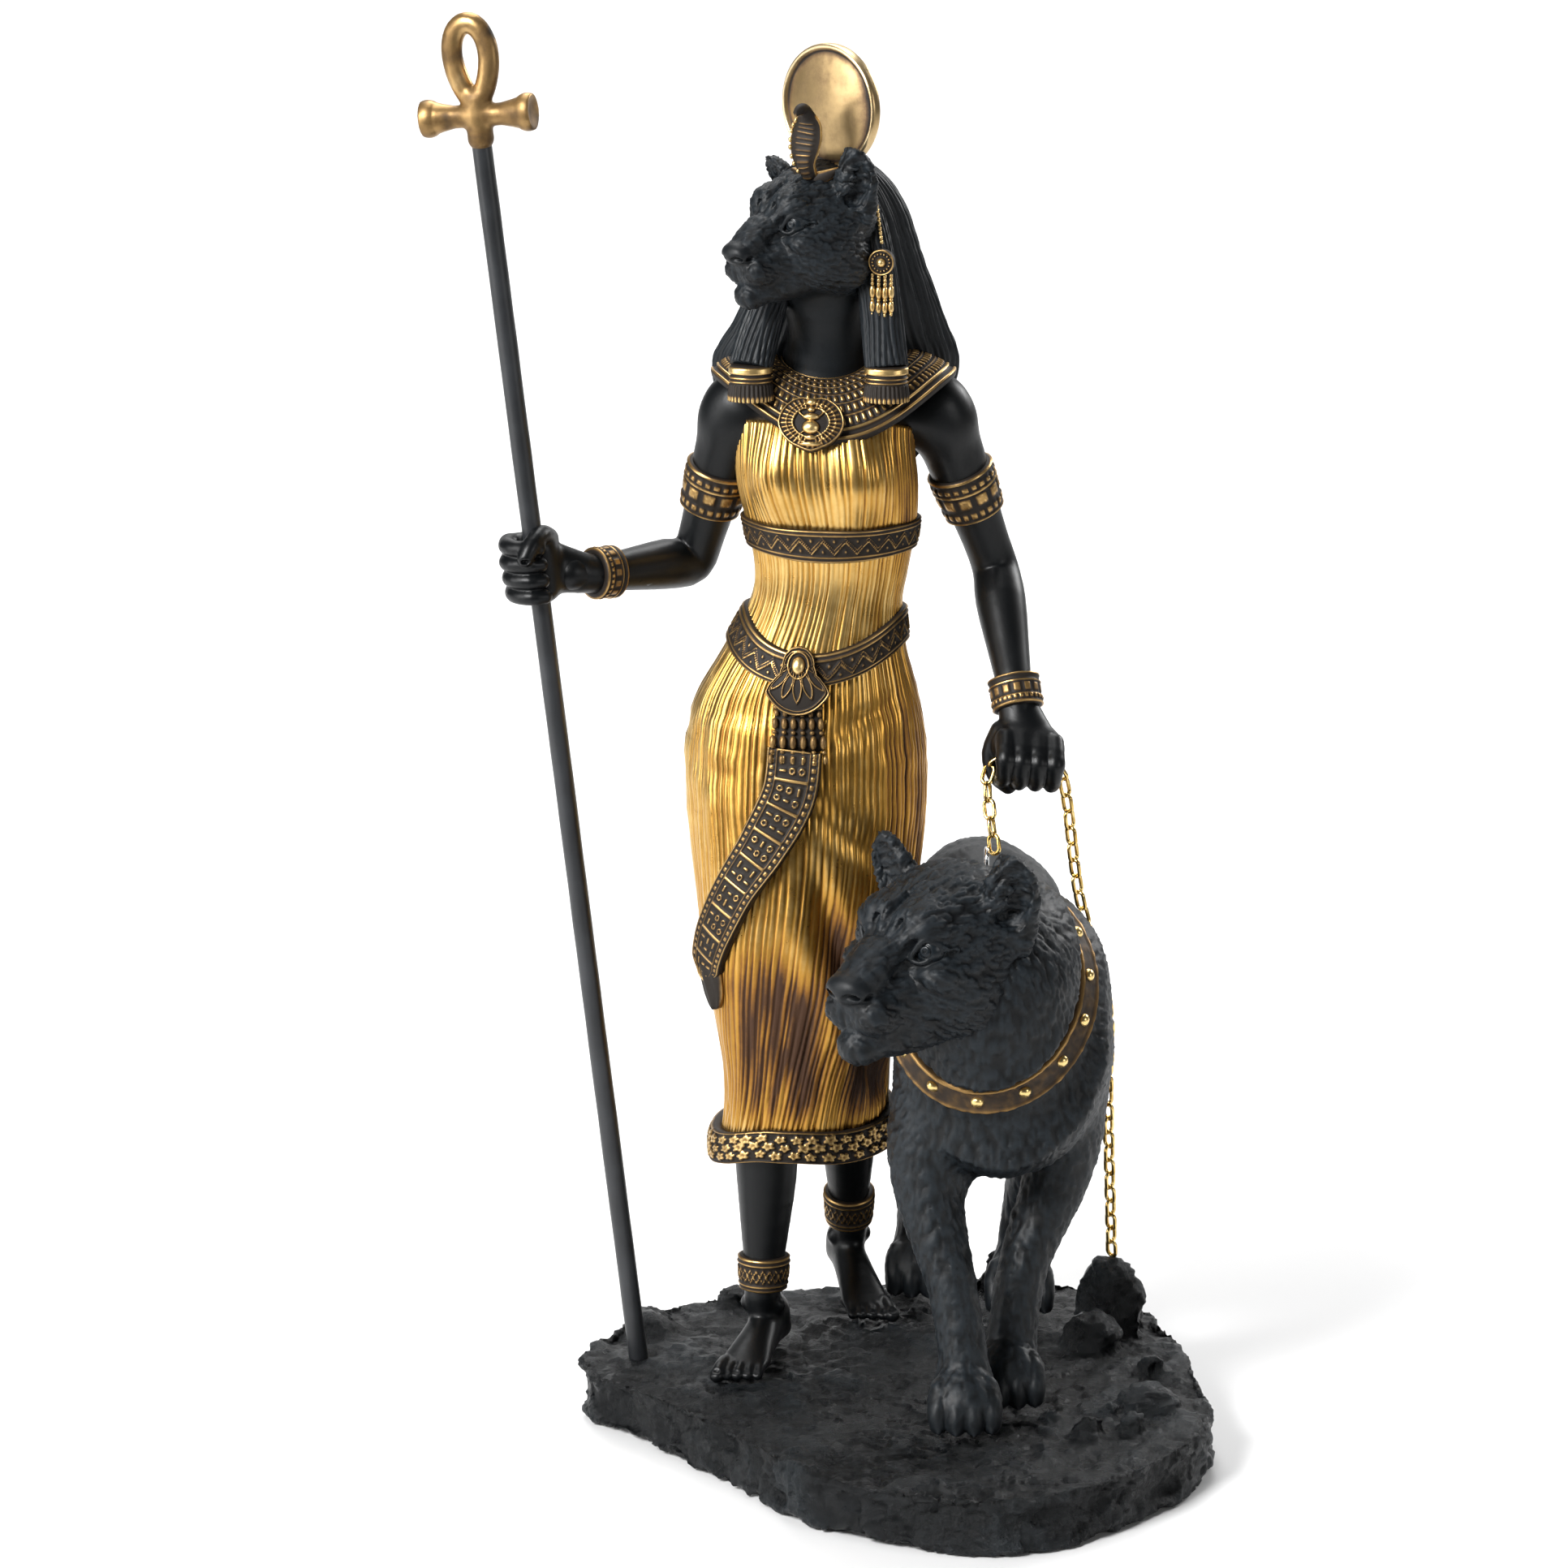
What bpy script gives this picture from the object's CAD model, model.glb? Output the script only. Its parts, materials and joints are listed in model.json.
"""A cast and painted figurine: a lion-headed goddess walks beside her collared lioness on a rock base.

Each figure is worked out in millimetres from the ground between its feet, and each head from the middle of
its skull. The finished pieces are set down in the model's own frame in metres. The goddess faces -Y, and +X
is her left.
"""
import json
import math
import bpy
import numpy as np
import openvdb
from mathutils import Matrix, Vector

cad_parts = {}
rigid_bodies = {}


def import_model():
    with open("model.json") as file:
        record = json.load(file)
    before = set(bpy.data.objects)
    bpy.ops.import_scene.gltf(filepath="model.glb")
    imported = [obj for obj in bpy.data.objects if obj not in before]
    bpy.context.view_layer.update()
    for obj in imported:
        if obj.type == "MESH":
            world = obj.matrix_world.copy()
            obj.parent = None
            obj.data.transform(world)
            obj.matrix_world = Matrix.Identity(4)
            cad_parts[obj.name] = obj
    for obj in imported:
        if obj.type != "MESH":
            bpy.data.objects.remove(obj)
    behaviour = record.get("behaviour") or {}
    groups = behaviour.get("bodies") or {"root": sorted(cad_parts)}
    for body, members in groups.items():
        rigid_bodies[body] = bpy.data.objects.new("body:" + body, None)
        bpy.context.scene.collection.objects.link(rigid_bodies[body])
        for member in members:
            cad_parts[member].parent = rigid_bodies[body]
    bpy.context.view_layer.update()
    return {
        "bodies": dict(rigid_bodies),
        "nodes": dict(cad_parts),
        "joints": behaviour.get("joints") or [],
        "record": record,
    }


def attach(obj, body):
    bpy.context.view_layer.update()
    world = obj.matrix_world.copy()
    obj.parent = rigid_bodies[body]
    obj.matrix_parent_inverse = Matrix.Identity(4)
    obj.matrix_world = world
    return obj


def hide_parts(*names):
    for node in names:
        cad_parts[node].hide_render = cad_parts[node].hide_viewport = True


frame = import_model()

GODDESS_AT = np.array([-0.772, 23.091, 13.3])
LIONESS_AT = np.array([35.228, 8.091, 13.3])
BASE_AT = np.array([15.228, -3.909, 0.0])
GODDESS_HEAD_AT = np.array([-0.6, -8.0, 236.0])
GODDESS_HEAD_TURN = -52
LION_HEAD_AT = np.array([-11.4, -33.0, 100.0])
LION_HEAD_TURN = -43
LION_HEAD_SIZE = 1.38
STANDS_AT = {"lioness": LIONESS_AT, "rock_base": BASE_AT}  # the rest stands on the goddess's spot
FAR = 4.0  # how far outside a shape the fields still measure, in millimetres
COARSE = 1.0
TURN = 2 * math.pi
SIDES = ("right", "left")

# Cell sizes of the carvings, in millimetres, and the most triangles that each carved piece keeps.
HEAD_CELL = 0.25
BODY_CELL = 0.52
ROCK_CELL = 0.62
ARM_CELL = 0.55
HAND_CELL = 0.3
LEG_CELL = 0.42
CROSS_CELL = 0.3
MOST = {
    "lioness_body": 150000, "lioness_head": 104000, "goddess_head": 78000, "rock_stand": 88000,
    "shoulders_and_arms": 18000, "right_hand": 15000, "left_hand": 15000, "right_leg": 15000,
    "left_leg": 15000,
    "gilded_looped_cross": 13000,
}


def column(*values):
    return np.array(values, float)


def unit(v):
    v = np.asarray(v, float)
    return v / (np.linalg.norm(v, axis=-1, keepdims=True) + 1e-12)


def between(a, b, t):
    a, b = np.array(a, float), np.array(b, float)
    return a + (b - a) * t


def full_turn(count):
    """Even steps once round, without the last."""
    return np.arange(count) / count * TURN


def around(middle, across, up, turn, reach, rise=None):
    """Points round a middle at each turn: reach away along across, and rise, or reach again, along up."""
    rise = reach if rise is None else rise
    return middle + across * (reach * np.cos(turn))[..., None] + up * (rise * np.sin(turn))[..., None]


def with_back(height, columns=2):
    """The relief of a band whose back, some columns of points, is bare."""
    return np.concatenate([height, np.zeros((len(height), columns))], 1).ravel()


def turned(degrees):
    """A turn about the upright."""
    c, s = math.cos(math.radians(degrees)), math.sin(math.radians(degrees))
    return np.array([[c, -s, 0], [s, c, 0], [0, 0, 1]])


def nodded(degrees):
    c, s = math.cos(math.radians(degrees)), math.sin(math.radians(degrees))
    return np.array([[1, 0, 0], [0, c, -s], [0, s, c]])


def leaned(degrees):
    c, s = math.cos(math.radians(degrees)), math.sin(math.radians(degrees))
    return np.array([[c, 0, s], [0, 1, 0], [-s, 0, c]])


def soft_step(value, start, end):
    t = np.clip((value - start) / (end - start), 0, 1)
    return t * t * (3 - 2 * t)


def ridge(value, at, half_width):
    """A rounded ridge, 1 on its line and 0 from a half-width away."""
    t = np.clip(np.abs(value - at) / half_width, 0, 1)
    return (1 - t * t) ** 2


def eased(a, b, leave, arrive, t):
    """A spot at a share t of a curve that leaves a and arrives at b with the slopes given."""
    rise = b - a
    return a + leave * t + (3 * rise - 2 * leave - arrive) * t ** 2 + (leave + arrive - 2 * rise) * t ** 3


def smoothed(rows, steps=4):
    """Rows of numbers with more rows between them, on a smooth curve through every column."""
    rows = np.array([list(row) for row in rows], float)
    out = []
    for i in range(len(rows) - 1):
        before, a, b, after = rows[max(i - 1, 0)], rows[i], rows[i + 1], rows[min(i + 2, len(rows) - 1)]
        out += [eased(a, b, (b - before) / 2, (after - a) / 2, t) for t in np.arange(steps) / steps]
    return np.array([*out, rows[-1]])


def run_along(spots):
    """How far along a line of spots each one is."""
    return np.concatenate([[0], np.cumsum(np.linalg.norm(np.diff(spots, axis=0), axis=1))])


def spread(steps, run, rows):
    """Rows read off at new steps along a line."""
    return np.stack([np.interp(steps, run, rows[:, k]) for k in range(3)], -1)


def scatter(cells, seed):
    """An even scatter of values from 0 to 1, one for each cell of whole numbers."""
    h = (cells[..., 0] * 374761393 + cells[..., 1] * 668265263 + cells[..., 2] * 2147483629 + seed * 974634777)
    h &= 0xFFFFFFFF
    h = ((h ^ (h >> 13)) * 1274126177) & 0xFFFFFFFF
    return ((h ^ (h >> 16)) & 0xFFFF) / 65535.0


def grain(points, size, seed=0):
    """Smooth unevenness from -1 to 1, its lumps about one size wide."""
    p = np.asarray(points, float) / size
    base = np.floor(p).astype(np.int64)
    f = p - base
    f = f * f * (3 - 2 * f)
    total = np.zeros(p.shape[:-1])
    for corner in np.ndindex(2, 2, 2):
        share = np.prod(np.where(corner, f, 1 - f), axis=-1)
        total += share * scatter(base + np.array(corner), seed)
    return total * 2 - 1


def rough(points, size, steps=3, seed=0):
    return sum(grain(points, size / 2 ** k, seed + k) / 2 ** k for k in range(steps)) / 1.6


# Carved forms: fields of distance, melted together and cut, with a skin drawn where the distance is nothing.

def egg(middle, sizes, turn=0, nod=0):
    middle, sizes = np.array(middle, float), np.array(sizes, float)
    axes = turned(turn) @ nodded(nod)
    reach = np.sqrt(((axes * sizes) ** 2).sum(1))

    def distance(x, y, z):
        q = [sum(axes[k, j] * (p - middle[k]) for k, p in enumerate((x, y, z))) / sizes[j] for j in range(3)]
        outer = np.sqrt(q[0] ** 2 + q[1] ** 2 + q[2] ** 2)
        slope = np.sqrt(sum((v / s) ** 2 for v, s in zip(q, sizes)))
        return outer * (outer - 1) / (slope + 1e-6)

    return [(middle - reach, middle + reach, distance)]


def limb(rows, side=(1, 0, 0), steps=3):
    """A limb through rows of x, y, z, half-width along side and half-depth across it, with round ends."""
    rows = [list(row) + ([row[3]] if len(row) == 4 else []) for row in rows]
    rows = smoothed(rows, steps) if len(rows) > 2 else np.array(rows, float)
    parts = []
    for start, end in zip(rows[:-1], rows[1:]):
        parts.append(bone(start, end, np.array(side, float)))
    return parts


def bone(start, end, side):
    length = max(np.linalg.norm(end[:3] - start[:3]), 1e-6)
    along = (end[:3] - start[:3]) / length
    u = unit(side - along * side.dot(along))
    w = np.cross(along, u)
    most = max(start[3:].max(), end[3:].max())
    low = np.minimum(start[:3], end[:3]) - most
    high = np.maximum(start[:3], end[:3]) + most

    def distance(x, y, z):
        p = (x - start[0], y - start[1], z - start[2])
        t = along[0] * p[0] + along[1] * p[1] + along[2] * p[2]
        share = np.clip(t / length, 0, 1)
        a = start[3] + (end[3] - start[3]) * share
        b = start[4] + (end[4] - start[4]) * share
        c = np.minimum(a, b)
        q = [axis[0] * p[0] + axis[1] * p[1] + axis[2] * p[2] for axis in (u, w)] + [t - share * length]
        outer = np.sqrt((q[0] / a) ** 2 + (q[1] / b) ** 2 + (q[2] / c) ** 2)
        slope = np.sqrt((q[0] / a ** 2) ** 2 + (q[1] / b ** 2) ** 2 + (q[2] / c ** 2) ** 2)
        return outer * (outer - 1) / (slope + 1e-6)

    return low, high, distance


class Carving:
    """A grid of distances to a shape, in millimetres."""

    def __init__(self, low, high, cell):
        self.low, self.cell = np.array(low, float), cell * COARSE
        counts = np.ceil((np.array(high) - self.low) / self.cell).astype(int) + 1
        self.value = np.full(counts, FAR, np.float32)

    def window(self, low, high):
        """The part of the grid inside a box, as a slot in the values and as the places of its cells."""
        first = np.maximum(np.floor((low - self.low) / self.cell).astype(int), 1)
        last = np.ceil((high - self.low) / self.cell).astype(int) + 1
        last = np.minimum(last, np.array(self.value.shape) - 1)
        if np.any(last <= first):
            return None, None
        axes = [self.low[k] + self.cell * np.arange(first[k], last[k]) for k in range(3)]
        return tuple(slice(a, b) for a, b in zip(first, last)), np.meshgrid(*axes, indexing="ij", sparse=True)

    def measured(self, parts, margin):
        """The distance to the nearest of the parts, in a box round them all."""
        low = np.min([part[0] for part in parts], axis=0) - margin
        high = np.max([part[1] for part in parts], axis=0) + margin
        slot, _ = self.window(low, high)
        if slot is None:
            return None, None
        nearest = np.full(self.value[slot].shape, FAR, np.float32)
        for part_low, part_high, distance in parts:
            inner, grid = self.window(part_low - margin, part_high + margin)
            if inner is None:
                continue
            local = tuple(slice(a.start - b.start, a.stop - b.start) for a, b in zip(inner, slot))
            nearest[local] = np.minimum(nearest[local], distance(*grid))
        return slot, nearest

    def melted(self, parts, melt, sign):
        slot, nearest = self.measured(parts, melt + 1)
        if slot is not None:
            now, aim = self.value[slot], sign * nearest
            h = np.clip(0.5 + sign * 0.5 * (now - aim) / melt, 0, 1)
            self.value[slot] = now + (aim - now) * h - sign * melt * h * (1 - h)

    def add(self, parts, melt=0.8):
        """Join a form on, its edge melted over a width."""
        self.melted(parts, melt, 1)

    def cut(self, parts, melt=0.4):
        """Carve a form away."""
        self.melted(parts, melt, -1)

    def skin(self):
        grid = openvdb.FloatGrid(FAR)
        grid.copyFromArray(self.value)
        points, quads = grid.convertToQuads(0.0)
        return facing_out(self.low + points * self.cell, quads.astype(int))


def facing_out(points, faces):
    a, b, c = (points[faces[:, k]] for k in range(3))
    volume = (a * np.cross(b, c)).sum()
    if faces.shape[1] == 4:
        volume += (a * np.cross(c, points[faces[:, 3]])).sum()
    return points, faces if volume > 0 else faces[:, ::-1]


def normals_of(points, faces):
    corners = [points[faces[:, k]] for k in range(faces.shape[1])]
    across = np.cross(corners[2] - corners[0], corners[-1] - corners[1])
    normals = np.zeros_like(points)
    for k in range(faces.shape[1]):
        for axis in range(3):
            normals[:, axis] += np.bincount(faces[:, k], across[:, axis], len(points))
    return unit(normals)


GROUND = egg([0, 0, -20], [200, 200, 20.0])
TUFTS_PER_CELL = 4


def tufts(points, normals, flow, length, width, seed):
    """How high one layer of fur stands at each point, 0 to 1: short tufts that lie along the flow."""
    cell = length * 0.8
    base = np.floor(points / cell).astype(np.int64)
    height = np.zeros(len(points))
    flow = unit(flow - normals * (flow * normals).sum(-1, keepdims=True))
    side = np.cross(normals, flow)
    for shift in np.ndindex(3, 3, 3):
        cells = base + np.array(shift) - 1
        for k in range(TUFTS_PER_CELL):
            jitter = np.stack([scatter(cells, seed + 7 * k + axis) for axis in range(3)], axis=-1)
            off = points - (cells + jitter) * cell
            u = (off * flow).sum(-1) / length
            v = (off * side).sum(-1) / width
            depth = (off * normals).sum(-1) / cell
            strand = np.clip(u + 0.5, 0, 1) * soft_step(0.62 - u, 0, 0.35)
            strand *= np.exp(-v * v) * soft_step(1 - np.abs(depth), 0, 0.35)
            height = np.maximum(height, strand)
    return height


def coat_of_fur(points, normals, flow, long, short):
    """Long tufts with short ones among them. Each layer is given as length, width and seed."""
    return tufts(points, normals, flow, *long) * 0.65 + tufts(points, normals, flow, *short) * 0.35


# Shapes drawn as rings.

def capped(rings):
    """Points and faces of a closed skin over rings, with a middle point on each end."""
    rings = np.asarray(rings, float)
    rows, n = rings.shape[:2]
    points = np.concatenate([rings.reshape(-1, 3), rings[[0]].mean(1), rings[[-1]].mean(1)])
    i = np.arange(n)
    j = (i + 1) % n
    faces = [np.stack([r * n + i, r * n + j, (r + 1) * n + j, (r + 1) * n + i], 1) for r in range(rows - 1)]
    last = (rows - 1) * n
    ends = [np.stack([j, i, np.full(n, rows * n)], 1),
            np.stack([last + i, last + j, np.full(n, rows * n + 1)], 1)]
    quads, fans = np.concatenate(faces), np.concatenate(ends)
    _, seen = facing_out(points, quads)
    if not np.array_equal(seen, quads):
        fans = fans[:, ::-1]
    return points, [*seen.tolist(), *fans.tolist()]


def looped(rings):
    """Points and faces of a closed ring of rings, round both ways."""
    rings = np.asarray(rings, float)
    rows, n = rings.shape[:2]
    i, r = np.meshgrid(np.arange(n), np.arange(rows))
    j, s = (i + 1) % n, (r + 1) % rows
    quads = np.stack([r * n + i, r * n + j, s * n + j, s * n + i], -1).reshape(-1, 4)
    return facing_out(rings.reshape(-1, 3), quads)


def listed(faces):
    return faces.tolist() if isinstance(faces, np.ndarray) else faces


class Heap:
    """Many closed shapes gathered into one mesh, with how high each point stands."""

    def __init__(self):
        self.points, self.faces, self.relief, self.count = [], [], [], 0

    def add(self, points, faces, relief=1.0):
        self.points.append(np.asarray(points))
        self.relief.append(np.broadcast_to(np.asarray(relief, float), (len(points),)))
        self.faces += [[v + self.count for v in face] for face in listed(faces)]
        self.count += len(points)

    def set_down(self, name, finish, node="goddess"):
        set_down(name, np.concatenate(self.points), self.faces, np.concatenate(self.relief), finish, node)


def set_down(name, points, faces, relief, finish, node="goddess"):
    """A finished piece of the model, from millimetres to metres, that stands for a node."""
    mesh = bpy.data.meshes.new(name)
    spots = (np.asarray(points) + STANDS_AT.get(node, GODDESS_AT)) / 1000
    mesh.from_pydata(spots.tolist(), [], listed(faces))
    add_relief(mesh, relief)
    piece = bpy.data.objects.new(name, mesh)
    bpy.context.scene.collection.objects.link(piece)
    if triangles_of(mesh) > MOST.get(name, math.inf):
        thin = piece.modifiers.new("thin", "DECIMATE")
        thin.ratio = MOST[name] / triangles_of(mesh)
        made_plain(piece)
    piece.data.materials.clear()
    piece.data.materials.append(finish)
    finished(piece, node)


def add_relief(mesh, relief):
    """How high each point stands, as an attribute that the paint reads."""
    layer = mesh.attributes.new("relief", "FLOAT", "POINT")
    layer.data.foreach_set("value", np.ascontiguousarray(relief, np.float32))


def triangles_of(mesh):
    return sum(len(face.vertices) - 2 for face in mesh.polygons)


def made_plain(piece):
    """Put the result of a piece's modifiers in its mesh, and take the modifiers off."""
    settled = bpy.context.evaluated_depsgraph_get()
    shown = piece.evaluated_get(settled)
    result = bpy.data.meshes.new_from_object(shown, preserve_all_data_layers=True, depsgraph=settled)
    piece.modifiers.clear()
    piece.data = result


def finished(piece, node):
    piece.data.shade_smooth()
    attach(piece, "root")
    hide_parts(node)
    print(f"{piece.name}: {triangles_of(piece.data)} triangles")


# Paint: a material's tree, built from expressions.

class Value:
    """One value in a tree of nodes. Sums on it add the Math nodes that work them out."""

    def __init__(self, owner, socket):
        self.owner, self.socket = owner, socket

    def math(self, operation, *others):
        sockets = {0: self, **{k + 1: other for k, other in enumerate(others)}}
        return self.owner.node("ShaderNodeMath", sockets, operation=operation)[0]

    def __add__(self, other):
        return self.math("ADD", other)

    def __sub__(self, other):
        return self.math("SUBTRACT", other)

    def __mul__(self, other):
        return self.math("MULTIPLY", other)

    def __truediv__(self, other):
        return self.math("DIVIDE", other)

    def __rsub__(self, other):
        return self.math("MULTIPLY", -1.0).math("ADD", other)

    __radd__ = __add__
    __rmul__ = __mul__

    def step(self, start, end):
        """0 below start, 1 above end, and smooth between."""
        sockets = {"Value": self, "From Min": start, "From Max": end}
        return self.owner.node("ShaderNodeMapRange", sockets, interpolation_type="SMOOTHSTEP")["Result"]


class Outputs:
    def __init__(self, owner, outputs):
        self.owner, self.outputs = owner, outputs

    def __getitem__(self, name):
        return Value(self.owner, self.outputs[name])


class Nodes:
    """A tree of nodes, made one at a time and linked by name."""

    def node(self, kind, sockets=None, **settings):
        made = self.tree.nodes.new(kind)
        for key, value in settings.items():
            setattr(made, key, value)
        for key, value in (sockets or {}).items():
            if isinstance(value, Value):
                self.tree.links.new(value.socket, made.inputs[key])
            else:
                made.inputs[key].default_value = value
        return Outputs(self, made.outputs)


class Growth(Nodes):
    """A Geometry Nodes tree with named inputs for its sizes. Its result becomes a plain mesh."""

    def __init__(self, name, **sizes):
        self.tree = bpy.data.node_groups.new(name, "GeometryNodeTree")
        for way in ("INPUT", "OUTPUT"):
            self.tree.interface.new_socket("Geometry", in_out=way, socket_type="NodeSocketGeometry")
        self.sizes = {key.replace("_", " "): value for key, value in sizes.items()}
        self.keys = {}
        for label, value in self.sizes.items():
            kind = "NodeSocketInt" if isinstance(value, int) else "NodeSocketFloat"
            socket = self.tree.interface.new_socket(label, in_out="INPUT", socket_type=kind)
            self.keys[label] = socket.identifier
        self.given = self.node("NodeGroupInput")

    def __getitem__(self, name):
        return self.given[name]

    def moved(self, what, **places):
        return self.node("GeometryNodeTransform", {"Geometry": what, **places})[0]

    def grown(self, last, name, finish, node, spots=()):
        """Run the tree on a line of points, in millimetres in the model's frame, and set its result down."""
        real = self.node("GeometryNodeRealizeInstances", {"Geometry": last})[0]
        painted = self.node("GeometryNodeSetMaterial", {"Geometry": real, "Material": finish})[0]
        self.node("NodeGroupOutput", {"Geometry": painted})
        mesh = bpy.data.meshes.new(name)
        line = [(k, k + 1) for k in range(len(spots) - 1)]
        mesh.from_pydata([tuple(spot) for spot in np.asarray(spots) / 1000], line, [])
        piece = bpy.data.objects.new(name, mesh)
        bpy.context.scene.collection.objects.link(piece)
        grower = piece.modifiers.new(name, "NODES")
        grower.node_group = self.tree
        for label, value in self.sizes.items():
            grower[self.keys[label]] = value
        made_plain(piece)
        for layer in list(piece.data.attributes):
            if layer.name not in ("position", "material_index") and not layer.name.startswith("."):
                piece.data.attributes.remove(layer)
        add_relief(piece.data, np.ones(len(piece.data.vertices)))
        finished(piece, node)


class Paint(Nodes):
    """A procedural finish, built on the piece's own coordinates and its relief."""

    def __init__(self, name):
        self.material = bpy.data.materials.new(name)
        self.material.use_nodes = True
        self.tree = self.material.node_tree
        self.tree.nodes.clear()
        self.place = self.node("ShaderNodeTexCoord")["Object"]
        self.relief = self.node("ShaderNodeAttribute", attribute_name="relief")["Fac"]

    def noise(self, scale, detail=3.0, roughness=0.55, stretch=None):
        place = self.place
        if stretch:
            place = self.node("ShaderNodeMapping", {"Vector": place, "Scale": stretch})["Vector"]
        sockets = {"Vector": place, "Scale": scale, "Detail": detail, "Roughness": roughness}
        return self.node("ShaderNodeTexNoise", sockets)["Fac"]

    def mixed(self, share, first, second):
        """Two colours mixed by a share."""
        first, second = ((*c, 1.0) if isinstance(c, tuple) and len(c) == 3 else c for c in (first, second))
        return self.node("ShaderNodeMix", {0: share, 6: first, 7: second}, data_type="RGBA")[2]

    def bump(self, height, strength, depth_mm):
        sockets = {"Height": height, "Strength": strength, "Distance": depth_mm / 1000}
        return self.node("ShaderNodeBump", sockets)["Normal"]

    def coat(self, **sockets):
        """The shader at the end of the tree. Its sockets are named with _ for a space."""
        named = {key.replace("_", " "): value for key, value in sockets.items()}
        shader = self.node("ShaderNodeBsdfPrincipled", named)["BSDF"]
        self.node("ShaderNodeOutputMaterial", {"Surface": shader})
        return self.material


def black_resin(name, matt=0.5, brushed=0.0):
    """Charcoal paint on cast resin: satin on skin, matt with lighter raised edges on carved fur and hair."""
    paint = Paint(name)
    cloudy = paint.noise(55.0, 4.0)
    fine = paint.noise(1500.0, 3.0, 0.65)
    raised = (paint.relief * brushed + cloudy * 0.35 - 0.12).step(0.0, 0.8)
    colour = paint.mixed(raised, (0.0014, 0.0019, 0.0024), (0.0096, 0.0134, 0.0170))
    roughness = cloudy * 0.16 + fine * 0.1 + paint.relief * 0.1 * brushed + (matt - 0.14)
    return paint.coat(Base_Color=colour, Roughness=roughness, Specular_IOR_Level=0.27,
                      Normal=paint.bump(fine, 0.35, 0.06))


def gilded(name, low, high, ground=(0.012, 0.008, 0.005), umber=(0.26, 0.115, 0.02),
           warm=(0.50, 0.262, 0.050), bright=(0.90, 0.66, 0.27), rough_gold=0.32):
    """Gold paint over dark resin: dark in the hollows, then umber, warm and bright gold as relief rises."""
    paint = Paint(name)
    worn = paint.noise(300.0, 6.0, 0.68)
    blotch = paint.noise(34.0, 4.0)
    fine = paint.noise(2400.0, 2.0)
    level = paint.relief + worn * 0.42 + blotch * 0.3 - 0.36
    span = high - low
    gold = level.step(low, high)
    stage = paint.mixed(level.step(low, low + span * 0.6), ground, umber)
    stage = paint.mixed(level.step(low + span * 0.4, high), stage, warm)
    colour = paint.mixed(level.step(high - span * 0.08, high + span * 0.85), stage, bright)
    roughness = worn * 0.18 - gold * (0.58 - rough_gold) + 0.52
    normal = paint.bump(worn * 0.7 + fine * 0.3, 0.4, 0.08)
    return paint.coat(Base_Color=colour, Metallic=gold * 0.9 + 0.06, Roughness=roughness,
                      Specular_IOR_Level=0.3, Normal=normal)


def wet_rock(name):
    """Black painted stone, part matt and part glossy, with fine broken grain."""
    paint = Paint(name)
    patches = paint.noise(60.0, 5.0, 0.6)
    chips = paint.noise(380.0, 7.0, 0.72)
    sockets = {"Vector": paint.place, "Scale": 260.0}
    cracks = paint.node("ShaderNodeTexVoronoi", sockets, feature="F1")["Distance"]
    height = chips * 0.8 + cracks * 0.5
    raised = (chips * 0.8 + paint.relief * 0.5).step(0.3, 1.0)
    colour = paint.mixed(raised, (0.0012, 0.0018, 0.0023), (0.0078, 0.0112, 0.0138))
    roughness = 0.36 - patches.step(0.38, 0.6) * 0.18 + chips * 0.14
    return paint.coat(Base_Color=colour, Roughness=roughness, Specular_IOR_Level=0.29,
                      Normal=paint.bump(height, 1.0, 1.3))


def rod_paint(name):
    """Satin black paint on a drawn rod, with a faint grain along it."""
    paint = Paint(name)
    along = paint.noise(900.0, 3.0, stretch=(1.0, 1.0, 0.06))
    cloudy = paint.noise(90.0, 3.0)
    colour = paint.mixed(cloudy.step(0.3, 0.8), (0.010, 0.011, 0.0125), (0.022, 0.024, 0.027))
    return paint.coat(Base_Color=colour, Roughness=along * 0.14 + 0.33, Normal=paint.bump(along, 0.25, 0.05))


def chain_metal(name, dull=(0.62, 0.40, 0.11), bright=(0.95, 0.72, 0.30)):
    """Bright plating on stamped wire, with darker rubbed spots."""
    paint = Paint(name)
    spots = paint.noise(650.0, 3.0)
    colour = paint.mixed(spots.step(0.35, 0.7), dull, bright)
    return paint.coat(Base_Color=colour, Metallic=1.0, Roughness=spots * 0.16 + 0.14,
                      Normal=paint.bump(spots, 0.2, 0.04))


SKIN_BLACK = black_resin("skin_black", 0.40)
FUR_BLACK = black_resin("fur_black", 0.48, 0.8)
HAIR_BLACK = black_resin("hair_black", 0.44, 0.6)
EYE_BLACK = black_resin("eye_black", 0.26, 0.8)
CLOTH_GOLD = gilded("cloth_gold", -0.12, 0.62, (0.045, 0.018, 0.006), (0.24, 0.105, 0.020), rough_gold=0.27)
BRIGHT_GOLD = gilded("bright_gold", -0.35, 0.35, rough_gold=0.27)
TRIM_GOLD = gilded("trim_gold", 0.34, 0.8, umber=(0.11, 0.062, 0.024), warm=(0.42, 0.26, 0.095),
                   bright=(0.84, 0.60, 0.26))
PALE_GOLD = gilded("pale_gold", 0.04, 0.58, umber=(0.14, 0.085, 0.045), warm=(0.47, 0.33, 0.16),
                   bright=(0.92, 0.73, 0.44), rough_gold=0.30)
ANTIQUE_GOLD = gilded("antique_gold", 0.08, 0.84, umber=(0.14, 0.08, 0.028), warm=(0.38, 0.24, 0.10),
                      bright=(0.80, 0.58, 0.29), rough_gold=0.34)
BRONZE = gilded("strap_bronze", 0.15, 0.95, (0.030, 0.019, 0.011), (0.11, 0.064, 0.026), (0.32, 0.19, 0.07),
                (0.72, 0.48, 0.19), 0.36)
ROCK = wet_rock("rock_black")
ROD = rod_paint("rod_black")
CHAIN = chain_metal("chain_gold")
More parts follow.
